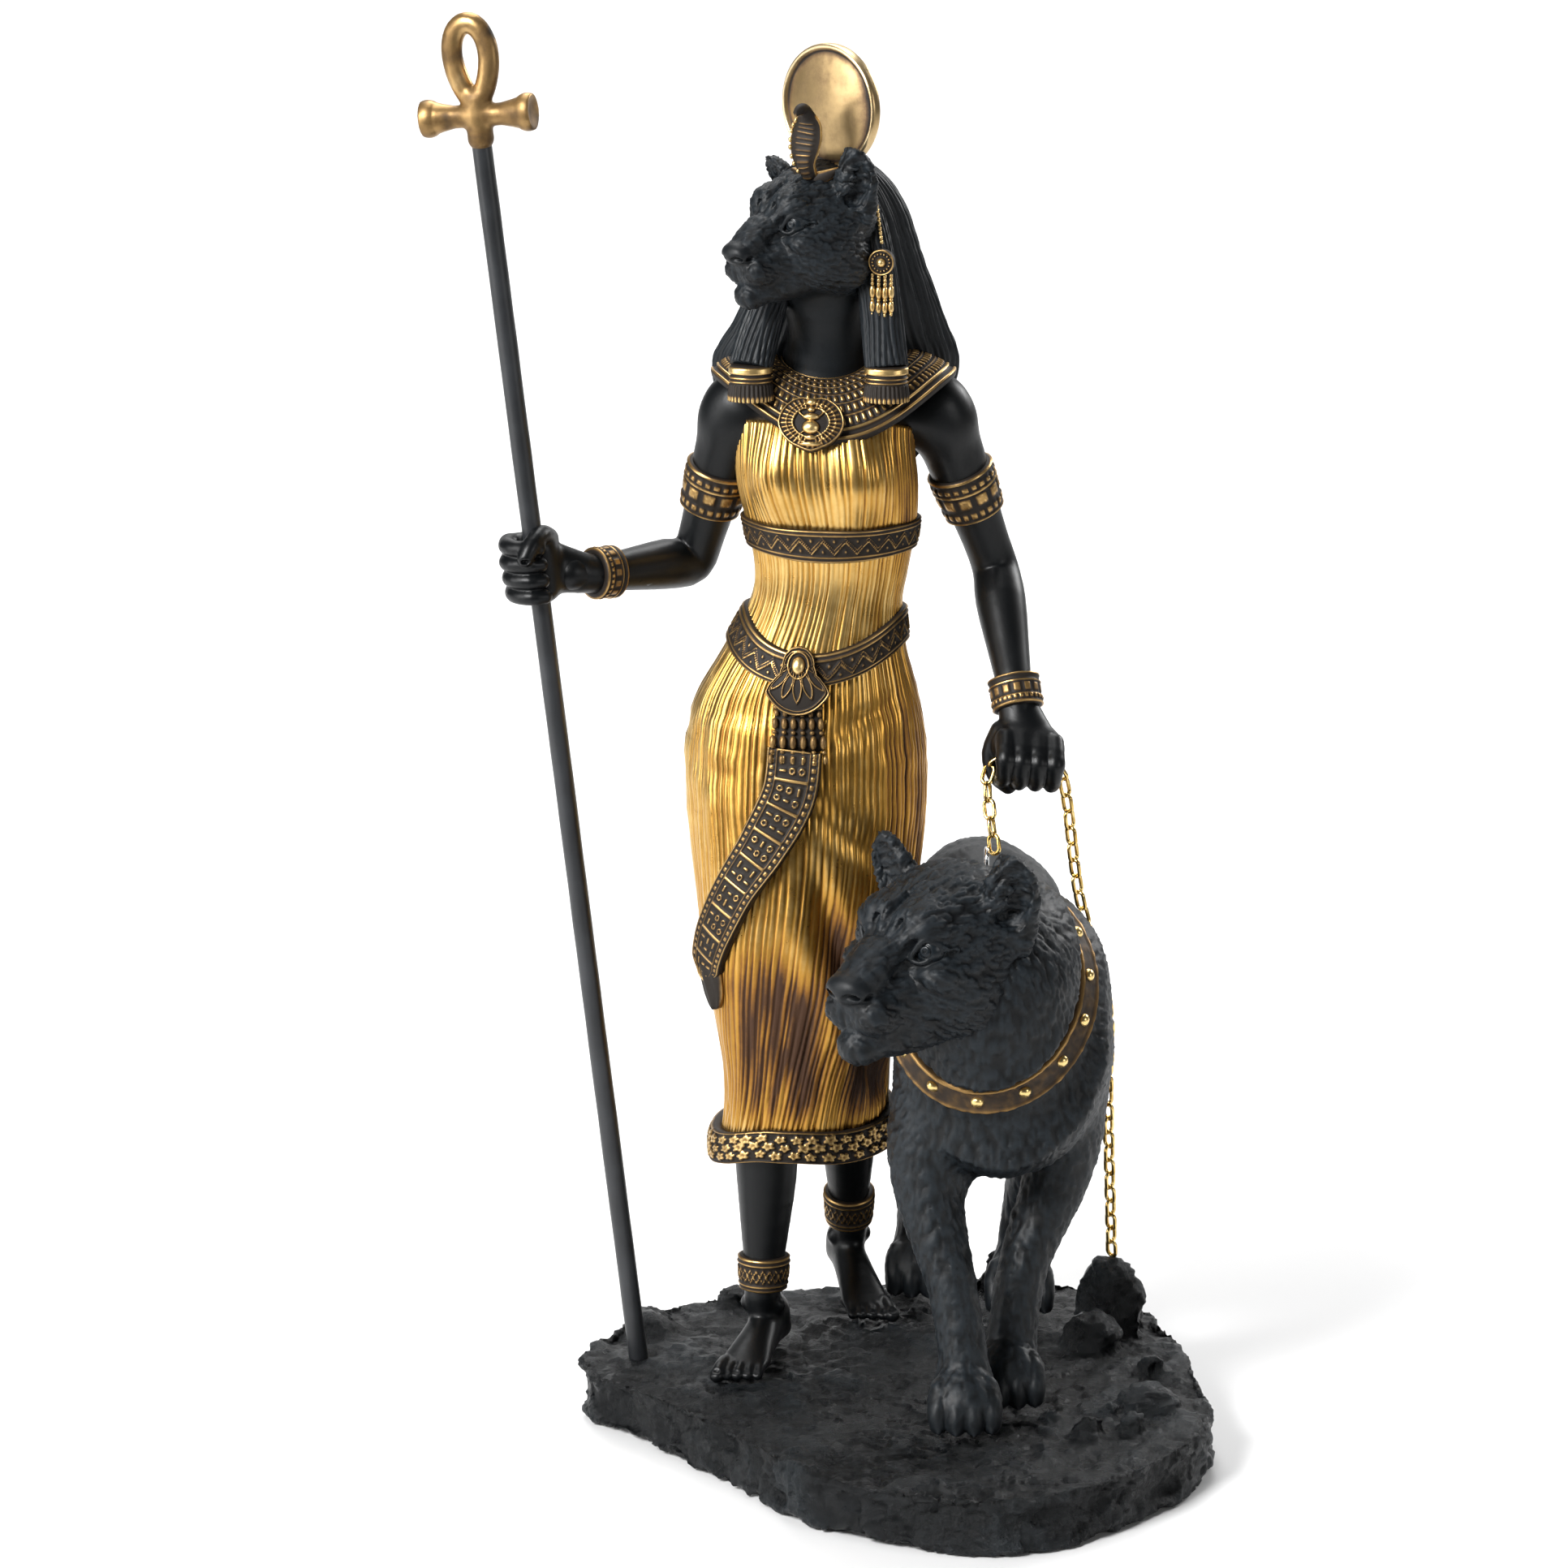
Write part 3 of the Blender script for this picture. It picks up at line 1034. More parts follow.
def rock_base():
    carving = Carving([-67, -70, -2], [67, 70, 30], ROCK_CELL)
    outline = smoothed([*ROCK_OUTLINE, ROCK_OUTLINE[0]], 6)[:-1]
    angles = np.arctan2(outline[:, 1], outline[:, 0])
    order = np.argsort(angles)
    reach = np.linalg.norm(outline, axis=1)[order]
    angles = angles[order]

    def distance(x, y, z):
        a, b = x / ROCK_HALF[0], y / ROCK_HALF[1]
        edge = np.interp(np.arctan2(b, a), angles, reach, period=TURN)
        share = np.sqrt(a * a + b * b) / edge
        spot = np.stack(np.broadcast_arrays(x, y, z * 1.6), -1)
        side = (share - 0.985) * 58
        step = rough(spot, 17.0, 3, 2)
        layers = 0.5 * np.abs((z / 5.2 + 0.9 * step) % 1 - 0.5) * 2
        top = z - ROCK_TOP + 0.2 + 0.5 * soft_step(share, 0.7, 1) * (1.4 + step)
        body = np.maximum(side + 1.5 * step + layers - 0.4, top)
        return np.maximum(body, -z)

    carving.add([(column(-66, -69, 0), column(66, 69, 15), distance)], 0.3)
    for k, row in enumerate(STONES):
        stone(carving, *row, k + 1)
    points, faces = carving.skin()
    normals = normals_of(points, faces)
    spot = points * column(1, 1, 1.3)
    slabs = np.floor(grain(spot, 11.0, 21) * 3 + grain(spot, 4.2, 22) * 1.2) / 3
    chips = sum(share * np.abs(grain(spot, size, seed))
                for share, size, seed in ((1, 5.0, 31), (0.6, 2.1, 32), (0.3, 1.2, 33)))
    flat_top = soft_step(normals[:, 2], 0.75, 0.95) * soft_step(points[:, 2], 11.5, 12.4)
    lift = slabs * 1.5 + (0.4 - chips) * 1.2 * (1 - 0.2 * flat_top) - 0.5
    lift = np.where(points[:, 2] < 1.2, np.minimum(lift, 0), lift)
    points = points + normals * lift[:, None]
    points[:, 2] = np.maximum(points[:, 2], 0)
    relief = np.clip(0.5 + lift * 0.5, 0, 1)
    set_down("rock_stand", points, faces, relief, ROCK, "rock_base")


# The goddess's dressed body.

BODY = [  # each a height, the middle's x and y, half-width, half-depth and turn in degrees
    [43.4, -3.2, 1.6, 17.6, 21.0, -24], [48, -3.0, 1.0, 17.0, 20.6, -23], [61, -2.3, -1.4, 17.4, 19.6, -19],
    [78, -2.7, -4.0, 20.4, 18.6, -12], [96, -2.8, -4.0, 22.4, 18.0, -8], [113, -2.8, -3.0, 24.2, 17.6, -8],
    [122, -2.9, -2.2, 24.5, 17.4, -8], [131, -2.8, -1.6, 23.9, 16.6, -8], [139, -2.3, -1.6, 21.8, 14.6, -8],
    [148, -0.8, -1.8, 18.0, 12.4, -8], [157, 1.2, -2.0, 15.3, 11.2, -8], [164, 2.2, -2.2, 15.5, 11.4, -8],
    [174, 2.1, -2.8, 17.2, 13.0, -8], [182, 1.2, -3.4, 18.2, 13.6, -8], [190, 0.8, -2.6, 18.0, 12.4, -8],
    [197, 1.2, -1.0, 19.5, 9.5, -8], [203, 1.2, -0.6, 13.0, 8.0, -8],
]
SWELLS = [  # each a turn in degrees, a height, how wide and how tall, and how far out
    [-63, 182, 20, 6.5, 3.6], [-117, 182, 20, 6.5, 3.6], [-118, 86, 26, 34, 2.6],
    [62, 120, 28, 14, 3], [118, 120, 28, 14, 3],
]
BODY_CURVE = smoothed(BODY, 8)
BELT_Z = 152.7
DRESS_STEPS = 600
DRESS_ROWS = 79


def on_body(turn, z, out=0.0):
    """A point on the dressed body at a turn from her left side, standing out by a set amount."""
    turn, z = np.broadcast_arrays(turn, z)
    curve = BODY_CURVE
    cx, cy, half_width, half_depth, yaw = (np.interp(z, curve[:, 0], curve[:, k]) for k in range(1, 6))
    swell = np.zeros(turn.shape) + out
    for at, height, spread, rise, reach in SWELLS:
        off = np.arctan2(np.sin(turn - math.radians(at)), np.cos(turn - math.radians(at)))
        swell = swell + reach * np.exp(-(off / math.radians(spread)) ** 2 - ((z - height) / rise) ** 2)
    a, b = (half_width + swell) * np.cos(turn), (half_depth + swell) * np.sin(turn)
    c, s = np.cos(np.radians(yaw)), np.sin(np.radians(yaw))
    return np.stack([cx + a * c - b * s, cy + a * s + b * c, z], -1)


def front_turn(x, z):
    """The turn at which the front of the body has a given x."""
    low, high = math.pi, TURN
    for _ in range(24):
        middle = (low + high) / 2
        if on_body(middle, z)[0] < x:
            low = middle
        else:
            high = middle
    return low


def on_front(x, z, out):
    return on_body(front_turn(x, z), z, out)


def frontness(turn):
    return np.maximum(0, -np.sin(turn))


def belt_dip(turn, z):
    return 8 * frontness(turn) ** 2 * np.exp(-((z - BELT_Z) / 12) ** 2)


def folds(turn, z, count, seed, wander=0.5):
    """Narrow upright folds of uneven depth: 0 in a groove and 1 on a fold."""
    round_spot = np.stack([np.cos(turn) * 9, np.sin(turn) * 9, z / 7], -1)
    across = turn / TURN * count + wander * grain(round_spot, 3.0, seed)
    across = across + 0.2 * grain(round_spot, 1.1, seed + 1)
    base = np.floor(across).astype(np.int64)
    height = np.ones(turn.shape)
    for k in (-1, 0, 1, 2):
        cell = np.stack([(base + k) % count, 0 * base, 0 * base], -1)
        groove = base + k + 0.4 * (scatter(cell, seed) - 0.5)
        depth = 0.3 + 0.7 * scatter(cell, seed + 1) ** 1.5
        height = np.minimum(height, 1 - depth * np.exp(-((across - groove) / 0.17) ** 2))
    return height


def hem_drop(turn, z):
    """How far the hem hangs below level: most at her right side, a little at her left."""
    right, left = soft_step(-np.cos(turn), -0.1, 0.95), soft_step(np.cos(turn), 0.3, 1.0)
    return (4.2 * right + 1.4 * left) * soft_step(78 - z, 0, 26)


def drapery(x, y, z):
    """The skirt's large folds: a valley between the thighs, a slanting thigh fold and a soft swag."""
    front = soft_step(-y, -3, 6)
    valley = x - (2 + (95 - z) * 0.3)
    out = -2.3 * np.exp(-(valley / 3.0) ** 2) * soft_step(z, 50, 62) * soft_step(112 - z, 0, 22)
    out += 1.2 * np.exp(-((valley + 6) / 4.2) ** 2) * soft_step(z, 52, 70) * soft_step(108 - z, 0, 18)
    out += 0.9 * np.exp(-((valley - 6.4) / 3.0) ** 2) * soft_step(z, 50, 66) * soft_step(100 - z, 0, 26)
    thigh = (z - 118) + 0.75 * (x + 2)
    out += -0.9 * np.exp(-(thigh / 3.2) ** 2) * soft_step(x, -13, -6) * soft_step(16 - x, 0, 8)
    swag = (z - 133) - 0.5 * (x - 3)
    out += -0.7 * np.exp(-(swag / 2.4) ** 2) * soft_step(x, 0, 5) * soft_step(19 - x, 0, 6)
    return out * front


def dress():
    heights = np.concatenate([[43.8], np.linspace(44.4, 190.0, DRESS_ROWS), [190.6]])
    turn, z = np.meshgrid(full_turn(DRESS_STEPS), heights)
    spot = on_body(turn, z)
    slant = 0.05 * soft_step(128 - z, 0, 60) * frontness(turn)
    bust = folds(turn, z, 96, 5, 0.4)
    skirt = folds(turn + slant, z, 104, 9, 0.7)
    share = soft_step(z, 150, 154)
    fold = skirt * (1 - share) + bust * share
    drape = soft_step(100 - z, 0, 52)
    waves = rough(spot * column(1, 1, 0.16), 9.0, 2, 14) * (0.35 + 0.9 * drape)
    creases = rough(spot * column(0.7, 0.7, 1.5), 5.0, 3, 17)
    creases *= np.exp(-((z - 128) / 12) ** 2) * 0.55 + 0.06
    large = drapery(spot[..., 0], spot[..., 1], z)
    broad = folds(turn + slant, z, 31, 33, 1.2)
    out = (fold - 1) * (0.42 + 0.25 * drape) + (broad - 1) * (0.15 + 0.5 * drape) + waves + creases + large
    lift = 5.4 * frontness(turn) ** 0.5 * soft_step(z, 174, 190) - hem_drop(turn, z)
    rings = on_body(turn, z - belt_dip(turn, z), out)
    rings[..., 2] = z - belt_dip(turn, z) + lift
    points, faces = capped(rings)
    shade = rough(spot * column(1, 1, 0.5), 16.0, 2, 77)
    relief = 0.24 + 0.5 * fold + 0.12 * broad + 0.12 * creases + 0.07 * waves + 0.06 * large + 0.26 * shade
    relief = relief - skirt_shade(turn, spot, z, fold)
    set_down("pleated_dress", points, faces, np.append(relief.ravel(), [0.5, 0.5]), CLOTH_GOLD)


def skirt_shade(turn, spot, z, fold):
    """How much darker the umber leaves the skirt, in broken streaks at the shin, valley and left."""
    x = spot[..., 0]
    above_hem = soft_step(z, 47, 60)
    dim = 1.1 * np.exp(-((x + 7.5) / 9.5) ** 2) * soft_step(92 - z, 0, 12) * above_hem
    valley = 0.85 * np.exp(-((x - 3 - (92 - z) * 0.22) / 7.0) ** 2) * soft_step(106 - z, 0, 22) * above_hem
    dim = np.maximum(np.maximum(dim, valley), 0.5 * soft_step(x, 5, 19)) * soft_step(-spot[..., 1], -6, 2)
    streak = rough(np.stack([turn * 20, z / 9, 0 * z], -1), 1.6, 2, 55)
    worn = dim * np.clip(0.86 - 0.8 * streak - 0.5 * (fold - 0.7), 0, 1.4)
    return 0.13 * soft_step(104 - z, 0, 26) * soft_step(z, 47, 56) + worn


# Bands with a pattern standing on them. Along counts repeats, and v runs from the lower edge to the upper.

def zigzag(along, v):
    """Two thin zigzag lines with a small block in each of their bays."""
    share = np.abs(along % 1 - 0.5) * 2
    lines = np.maximum(ridge(v, 0.26 + 0.38 * share, 0.06), ridge(v, 0.38 + 0.38 * share, 0.05) * 0.8)
    low, high = ridge(share, 0.0, 0.22) * ridge(v, 0.66, 0.1), ridge(share, 1.0, 0.22) * ridge(v, 0.34, 0.1)
    bays = np.maximum(low, high)
    return np.maximum(lines, bays * 0.9)


def edge_lines(v, *places):
    return np.max([ridge(v, at, half) for at, half in places], axis=0)


def cells(along, v, low, high, gap=0.16):
    """A row of raised blocks, rounded at their edges."""
    u = np.abs(along % 1 - 0.5)
    w = np.abs((v - low) / (high - low) - 0.5)
    return soft_step(0.5 - gap / 2 - u, 0, 0.16) * soft_step(0.5 - w, 0.02, 0.2)


def zigzag_belt(along, v):
    return np.maximum(edge_lines(v, (0.05, 0.05), (0.16, 0.05), (0.84, 0.05), (0.95, 0.05)), zigzag(along, v))


def flowers(along, v):
    """Small five-petalled flowers in three staggered rows, with raised edges."""
    height = np.zeros(along.shape)
    for row, middle in enumerate((0.26, 0.52, 0.78)):
        shift = along + row * 0.5
        cell = np.floor(shift).astype(np.int64)
        place = np.stack([cell, 0 * cell + row, 0 * cell], -1)
        x = (shift % 1 - 0.5 + 0.2 * (scatter(place, 3) - 0.5)) * 1.25
        y = (v - middle - 0.07 * (scatter(place, 4) - 0.5)) / 0.29
        far = np.hypot(x, y) / (0.52 + 0.16 * scatter(place, 5))
        petal = 0.62 + 0.38 * np.abs(np.cos(2.5 * (np.arctan2(y, x) + 6 * scatter(place, 6))))
        bloom = soft_step(petal - far, 0.0, 0.25) * (0.6 + 0.4 * soft_step(far, 0.1, 0.4))
        height = np.maximum(height, bloom)
    return np.maximum(height, edge_lines(v, (0.03, 0.035), (0.965, 0.035)) * 0.9)


def body_band(name, low, high, stand, raise_by, pattern, repeats, steps, rows):
    """A band round the dressed body."""
    turn, v = np.meshgrid(full_turn(steps), np.linspace(0, 1, rows), indexing="ij")
    z = low + (high - low) * v
    height = pattern(turn / TURN * repeats, v)
    rounded = np.sqrt(np.clip(1 - (2 * v - 1) ** 6, 0, 1))
    z_shown = z - belt_dip(turn, z) - hem_drop(turn, z)
    outer = on_body(turn, z_shown, stand * (0.4 + 0.6 * rounded) + raise_by * height)
    inner = on_body(turn[:, :2], z_shown[:, [-1, 0]] + np.array([[-0.2, 0.2]]), -1.2)
    points, faces = looped(np.concatenate([outer, inner], 1))
    set_down(name, points, faces, with_back(height), TRIM_GOLD)


def limb_band(name, start, end, radius, stand, pattern, repeats, raise_by=0.4, steps=120, flare=0.0):
    """A bracelet round a limb, from one end to the other along the limb's line, with a radius at each end."""
    along = unit(end - start)
    u = unit(np.cross(along, column(0.3, 1, 0.1)))
    w = np.cross(along, u)
    turn, v = np.meshgrid(full_turn(steps), np.linspace(0, 1, 22), indexing="ij")
    height = pattern(turn / TURN * repeats, v)
    rounded = np.sqrt(np.clip(1 - (2 * v - 1) ** 8, 0, 1))
    far = radius[0] * (1 - v) + radius[1] * v + stand * rounded + raise_by * height + flare * (2 * v - 1) ** 2
    middle = start + (end - start) * v[..., None]
    within = (np.array(radius)[::-1] - 1.0) + 0 * turn[:, :2]
    inner = around(middle[:, [-1, 0]], u, w, turn[:, :2], within)
    points, faces = looped(np.concatenate([around(middle, u, w, turn, far), inner], 1))
    set_down(name, points, faces, with_back(height), TRIM_GOLD)


def bands():
    body_band("hem_band", 43.2, 50.2, 1.1, 0.6, flowers, 34, 450, 28)
    body_band("hip_belt", 149.4, 156, 1.0, 0.45, zigzag_belt, 26, 400, 24)
    body_band("bust_band", 168.5, 174.5, 0.8, 0.42, zigzag_belt, 24, 380, 24)


# Arms, hands and legs.

SHOULDERS = {"right": [-16.8, 0, 195.5], "left": [23.4, -1, 195.5]}
ELBOWS = {"right": [-25.4, 9, 162.5], "left": [35.4, 8, 161.8]}
WRISTS = {"right": [-44.5, -8, 163.5], "left": [38.9, -12, 141]}
GRIPS = {"right": [-56.4, -16, 166.3], "left": [41.4, -17.5, 127.8]}
STAFF_FOOT = column(-53 + 16, 15.6 - 27, 9 - 13.3)
STAFF_LINE = unit(column(*GRIPS["right"]) - STAFF_FOOT)


def bare(name, carving):
    """Set down a carving of plain skin, level with the ground where it reaches below."""
    points, faces = carving.skin()
    points[:, 2] = np.maximum(points[:, 2], 0)
    set_down(name, points, faces, np.full(len(points), PLAIN), SKIN_BLACK)


def arm_rows(which):
    shoulder, elbow, wrist = SHOULDERS[which], ELBOWS[which], WRISTS[which]
    upper = [(-0.04, 6.3, 6.2), (0.22, 6.2, 6.2), (0.5, 5.5, 5.5), (0.82, 4.7, 4.8)]
    lower = [(0.04, 4.7, 4.7), (0.3, 5.1, 5.1), (0.7, 4.2, 4.2)]
    return [
        *([*between(shoulder, elbow, t), a, b] for t, a, b in upper),
        *([*between(elbow, wrist, t), a, b] for t, a, b in lower),
        [*wrist, 3.5, 3.6], [*between(wrist, GRIPS[which], 0.45), 3.6, 3.8],
    ]


def upper_body():
    """Shoulders, chest, and both arms down to the wrists."""
    carving = Carving([-53, -20, 132], [48, 20, 212], ARM_CELL)
    yoke = [[-14, -0.6, 194.6, 5.4, 6.6], [1, -0.6, 196, 6.5, 8], [20, -1, 194.6, 5.4, 6.6]]
    carving.add(limb(yoke, side=(0, 0, 1)))
    carving.add(limb([[1.2, -2, 186, 15.6, 10.6], [1.2, -1.2, 195, 15.5, 8.6]]), 3)
    carving.add(limb([[1.2, -0.6, 196, 9.0, 8.2], [1.3, -1.2, 201, 7.2, 7.0]]), 3)
    for which in SIDES:
        carving.add(egg(between(SHOULDERS[which], ELBOWS[which], 0.06), [6.9, 6.8, 7.4]), 3)
        carving.add(limb(arm_rows(which)), 2.2)
    bare("shoulders_and_arms", carving)


def hand(which, grip_line, knuckles, palm_side):
    """A closed fist: palm, four fingers curled round the grip, and a thumb over them."""
    middle = column(*GRIPS[which])
    along, out = unit(grip_line), unit(knuckles)
    across = unit(palm_side - along * along.dot(palm_side))

    def at(a, o, c):
        return middle + along * a + out * o + across * c

    carving = Carving(middle - 14, middle + 14, HAND_CELL)
    wrist = column(*WRISTS[which])
    back = [[*between(wrist, middle, -0.1), 3.6, 3.5], [*between(wrist, middle, 0.3), 4.2, 3.6],
            [*at(0, -2.4, -2.8), 5.6, 3.2], [*at(0, 0.8, -3.9), 6.3, 2.3]]
    carving.add(limb(back, side=along))
    carving.add(limb([[*at(-3.9, -1.6, -1.4), 4.0, 3.4], [*at(3.9, -1.6, -1.4), 4.2, 3.6]], side=across), 2)
    for k in (-1.5, -0.5, 0.5, 1.5):
        a = k * 3.3
        reach = 0.5 - 0.35 * abs(k - 0.3)
        rows = [[*at(a, -1.8, -4.3), 1.9], [*at(a, 2.4, -4.4 + reach * 0.2), 1.95],
                [*at(a, 4.6 + reach, -2.4), 1.75], [*at(a, 4.9 + reach, 0.6), 1.65],
                [*at(a, 3.4, 3.2), 1.6], [*at(a, 0.9, 3.8), 1.5]]
        carving.add(limb(rows, side=along), 0.55)
        carving.add(egg(at(a, 3.4, -4.2), [1.8, 1.9, 1.8]), 0.9)
    thumb = [[*at(5.4, -4.2, -2.2), 2.4], [*at(7.0, -1.2, 1.4), 2.1], [*at(6.0, 2.2, 3.9), 1.85],
             [*at(3.4, 4.4, 4.4), 1.6]]
    carving.add(limb(thumb), 0.5)
    carving.cut(egg(at(2.9, 5.0, 5.4), [0.9, 0.9, 0.5]), 0.3)
    bare(f"{which}_hand", carving)


def hands():
    hand("right", STAFF_LINE, column(-0.86, -0.5, 0), column(0.5, -0.86, 0))
    hand("left", column(-1, 0, 0.12), column(0, -0.72, -0.7), column(0, 0.7, -0.72))


LEGS = {
    "right": {"knee": [-11.0, -9.6, 46], "ankle": [-11.6, -11, 11], "heel": [-8.6, -4.1], "toe": [-17.2, -31],
              "lift": 0},
    "left": {"knee": [6.4, 12, 50], "ankle": [6.4, 24, 14], "heel": [4.6, 29], "toe": [11.6, 5], "lift": 5},
}


def leg(which):
    knee, ankle, heel, toe, lift = LEGS[which].values()
    aim = unit(column(toe[0] - heel[0], toe[1] - heel[1], 0))
    across = column(-aim[1], aim[0], 0)
    soles = np.array([[*toe, 0], [*heel, 0]], float)
    about_knee = column(knee[0], knee[1], 0)
    low = np.minimum(soles.min(0) - column(7, 7, 0.8), about_knee - column(9, 9, 0.8))
    high = np.maximum(soles.max(0) + column(7, 7, 0), about_knee + column(9, 9, 56))
    carving = Carving(low, high, LEG_CELL)
    back = -aim * 1.0
    shin = [[*knee, 6.6, 6.6], [*(between(knee, ankle, 0.26) + back), 6.1, 6.7],
            [*(between(knee, ankle, 0.62) + back * 0.4), 4.7, 5.2], [*between(knee, ankle, 0.86), 3.7, 4.2],
            [*ankle, 3.7, 4.3], [*between(ankle, [*heel, 4 + lift], 0.6), 3.6, 4.2]]
    carving.add(limb(shin, side=across))
    foot = [[0.04, 3.2, 3.2, 3.0], [0.24, 4.8, 3.5, 4.4], [0.48, 3.9, 4.1, 3.5], [0.72, 2.6, 4.9, 2.4],
            [0.82, 2.0, 4.8, 1.8]]
    rows = [[*between(heel, toe, t), z + lift * max(0, 1 - t * 1.3), a, b] for t, z, a, b in foot]
    carving.add(limb(rows, side=across), 2)
    for side in (-1, 1):
        carving.add(egg(column(*ankle) + across * side * 3.3 + column(0, 0, -1), [1.5, 1.6, 1.7]), 1)
    inner = -1 if which == "right" else 1
    for k in (-2, -1, 0, 1, 2):
        big = k * inner == 2
        size = 1.55 if big else 1.15 - 0.05 * abs(k)
        back = 0.9 * (2 - k * inner) * 0.75
        tip = np.array(toe, float) + across[:2] * k * 1.95 - aim[:2] * back
        root = tip - aim[:2] * 5.6
        joint = tip - aim[:2] * 2.4
        rows = [[*root, 2.3, size], [*joint, 2.3, size * 0.95], [*tip, 1.25, size]]
        carving.add(limb(rows, side=across), 0.3)
        carving.cut(egg([*(tip + aim[:2] * 0.6), 1.2 + size * 0.75], [size * 0.6, size * 0.6, 0.3]), 0.2)
    carving.cut(GROUND, 0.2)
    bare(f"{which}_leg", carving)


def legs():
    for which in SIDES:
        leg(which)


def arm_pattern(along, v):
    wide = cells(along / 2, v, 0.36, 0.66, 0.12) * 0.9
    rows = [cells(along, v, 0.13, 0.30), wide, cells(along, v, 0.72, 0.88)]
    lines = edge_lines(v, (0.05, 0.05), (0.33, 0.03), (0.69, 0.03), (0.95, 0.05))
    ring = ridge(np.hypot((along / 2 % 1 - 0.5) * 1.3, (v - 0.51) / 0.3), 0.26, 0.12)
    return np.maximum(np.max(rows, axis=0) * 0.82, np.maximum(lines, ring))


def wrist_pattern(along, v):
    lines = edge_lines(v, (0.06, 0.06), (0.28, 0.03), (0.70, 0.035), (0.94, 0.06))
    wide, narrow = cells(along, v, 0.31, 0.67, 0.2) * 0.66, cells(along * 2, v, 0.73, 0.87) * 0.85
    return np.maximum.reduce([wide, narrow, lines])


def ankle_pattern(along, v):
    lines = edge_lines(v, (0.06, 0.06), (0.2, 0.05), (0.8, 0.05), (0.94, 0.06))
    slope = 0.36 * np.abs(along % 1 - 0.5) * 2
    return np.maximum.reduce([lines, ridge(v, 0.32 + slope, 0.07), ridge(v, 0.68 - slope, 0.07)])


def arm_and_ankle_bands():
    for which, near, far in (("right", 0.84, 0.08), ("left", 0.92, 0.3)):
        shoulder, elbow, wrist, grip = SHOULDERS[which], ELBOWS[which], WRISTS[which], GRIPS[which]
        knee, ankle = LEGS[which]["knee"], LEGS[which]["ankle"]
        limb_band(f"{which}_armband", between(shoulder, elbow, 0.37), between(shoulder, elbow, 0.655),
                  (5.9, 5.1), 0.75, arm_pattern, 22, 0.5)
        limb_band(f"{which}_bracelet", between(elbow, wrist, near), between(wrist, grip, far),
                  (4.1, 4.0), 0.9, wrist_pattern, 14, flare=0.25)
        limb_band(f"{which}_anklet", between(knee, ankle, 0.72), between(knee, ankle, 0.93),
                  (4.6, 4.1), 0.7, ankle_pattern, 12, 0.35, 110)


# The broad collar and the scarab on it.

def collar_spot(turn, share, out=0.0):
    """A point on the broad collar from its neck edge, share 0, to its rim, share 1."""
    front, back = frontness(turn), np.maximum(0, np.sin(turn))
    inner = np.stack([1 + 8.4 * np.cos(turn), 8.0 * np.sin(turn) - 0.5, 206.3 - 3 * front], -1)
    depth = np.where(back > 0, 12.75, 17.0)
    rim = 203.5 - 11 * front ** 3 - 5 * back
    outer = np.stack([2.6 + 24.5 * np.cos(turn), depth * np.sin(turn) - 0.5, rim], -1)
    spot = inner + (outer - inner) * share[..., None]
    spot[..., 2] += 2.5 * np.sin(share * np.pi)
    outward = unit(np.stack([np.cos(turn) * 0.5, np.sin(turn) * (0.5 + 0.4 * front), 0.9 - 0.35 * front], -1))
    return spot + outward * np.asarray(out)[..., None]


def collar_pattern(turn, share):
    """Six rows of small blocks between narrow lines, and a plain rim."""
    height = edge_lines(share, (0.02, 0.025), (0.975, 0.03), (0.90, 0.014))
    for row in range(6):
        low = 0.06 + row * 0.14
        reach = 10 + 16 * (low + 0.07)
        across = turn / TURN * round(reach * 4.2) + 0.5 * (row % 2)
        height = np.maximum(height, cells(across, share, low, low + 0.108, 0.3) * 0.82)
        height = np.maximum(height, ridge(share, low + 0.128, 0.016))
    return height


def broad_collar():
    turn, share = np.meshgrid(full_turn(400), np.linspace(0, 1, 62), indexing="ij")
    height = collar_pattern(turn, share)
    top = collar_spot(turn, share, 0.5 * height)
    inward = np.linspace(0.99, 0, 4)[None, :] + 0 * turn[:, :4]
    under = collar_spot(turn[:, :4], inward) - column(0, 0, 1.0)
    points, faces = looped(np.concatenate([top, under], 1))
    set_down("broad_collar", points, faces, with_back(height, 4), TRIM_GOLD)


def plate(heap, middle, right, up, size, shape, detail, thick, raise_by, steps, bulge=0.6):
    """A small cast plate: its outline from shape, its surface from detail, both over x and y from -1 to 1."""
    right, up = unit(right), unit(up)
    out = np.cross(right, up)
    turn, far = np.meshgrid(full_turn(steps * 2), np.linspace(0.02, 1, steps // 2))
    reach = shape(turn)
    x, y = far * reach * np.cos(turn), far * reach * np.sin(turn)
    height = detail(x, y, far)
    level = thick + bulge * (1 - far ** 2) + raise_by * height
    level[-1] -= 0.15

    def spot(px, py, pz):
        wide, tall = right * (px * size[0])[..., None], up * (py * size[1])[..., None]
        return middle + wide + tall + out * pz[..., None]

    back = spot(x[-1] * 0.97, y[-1] * 0.97, 0 * x[-1] - 0.8)
    points, faces = capped(np.concatenate([spot(x, y, level), back[None]]))
    heap.add(points, faces, [*height.ravel(), *np.zeros(steps * 2), height[0].mean(), 0])


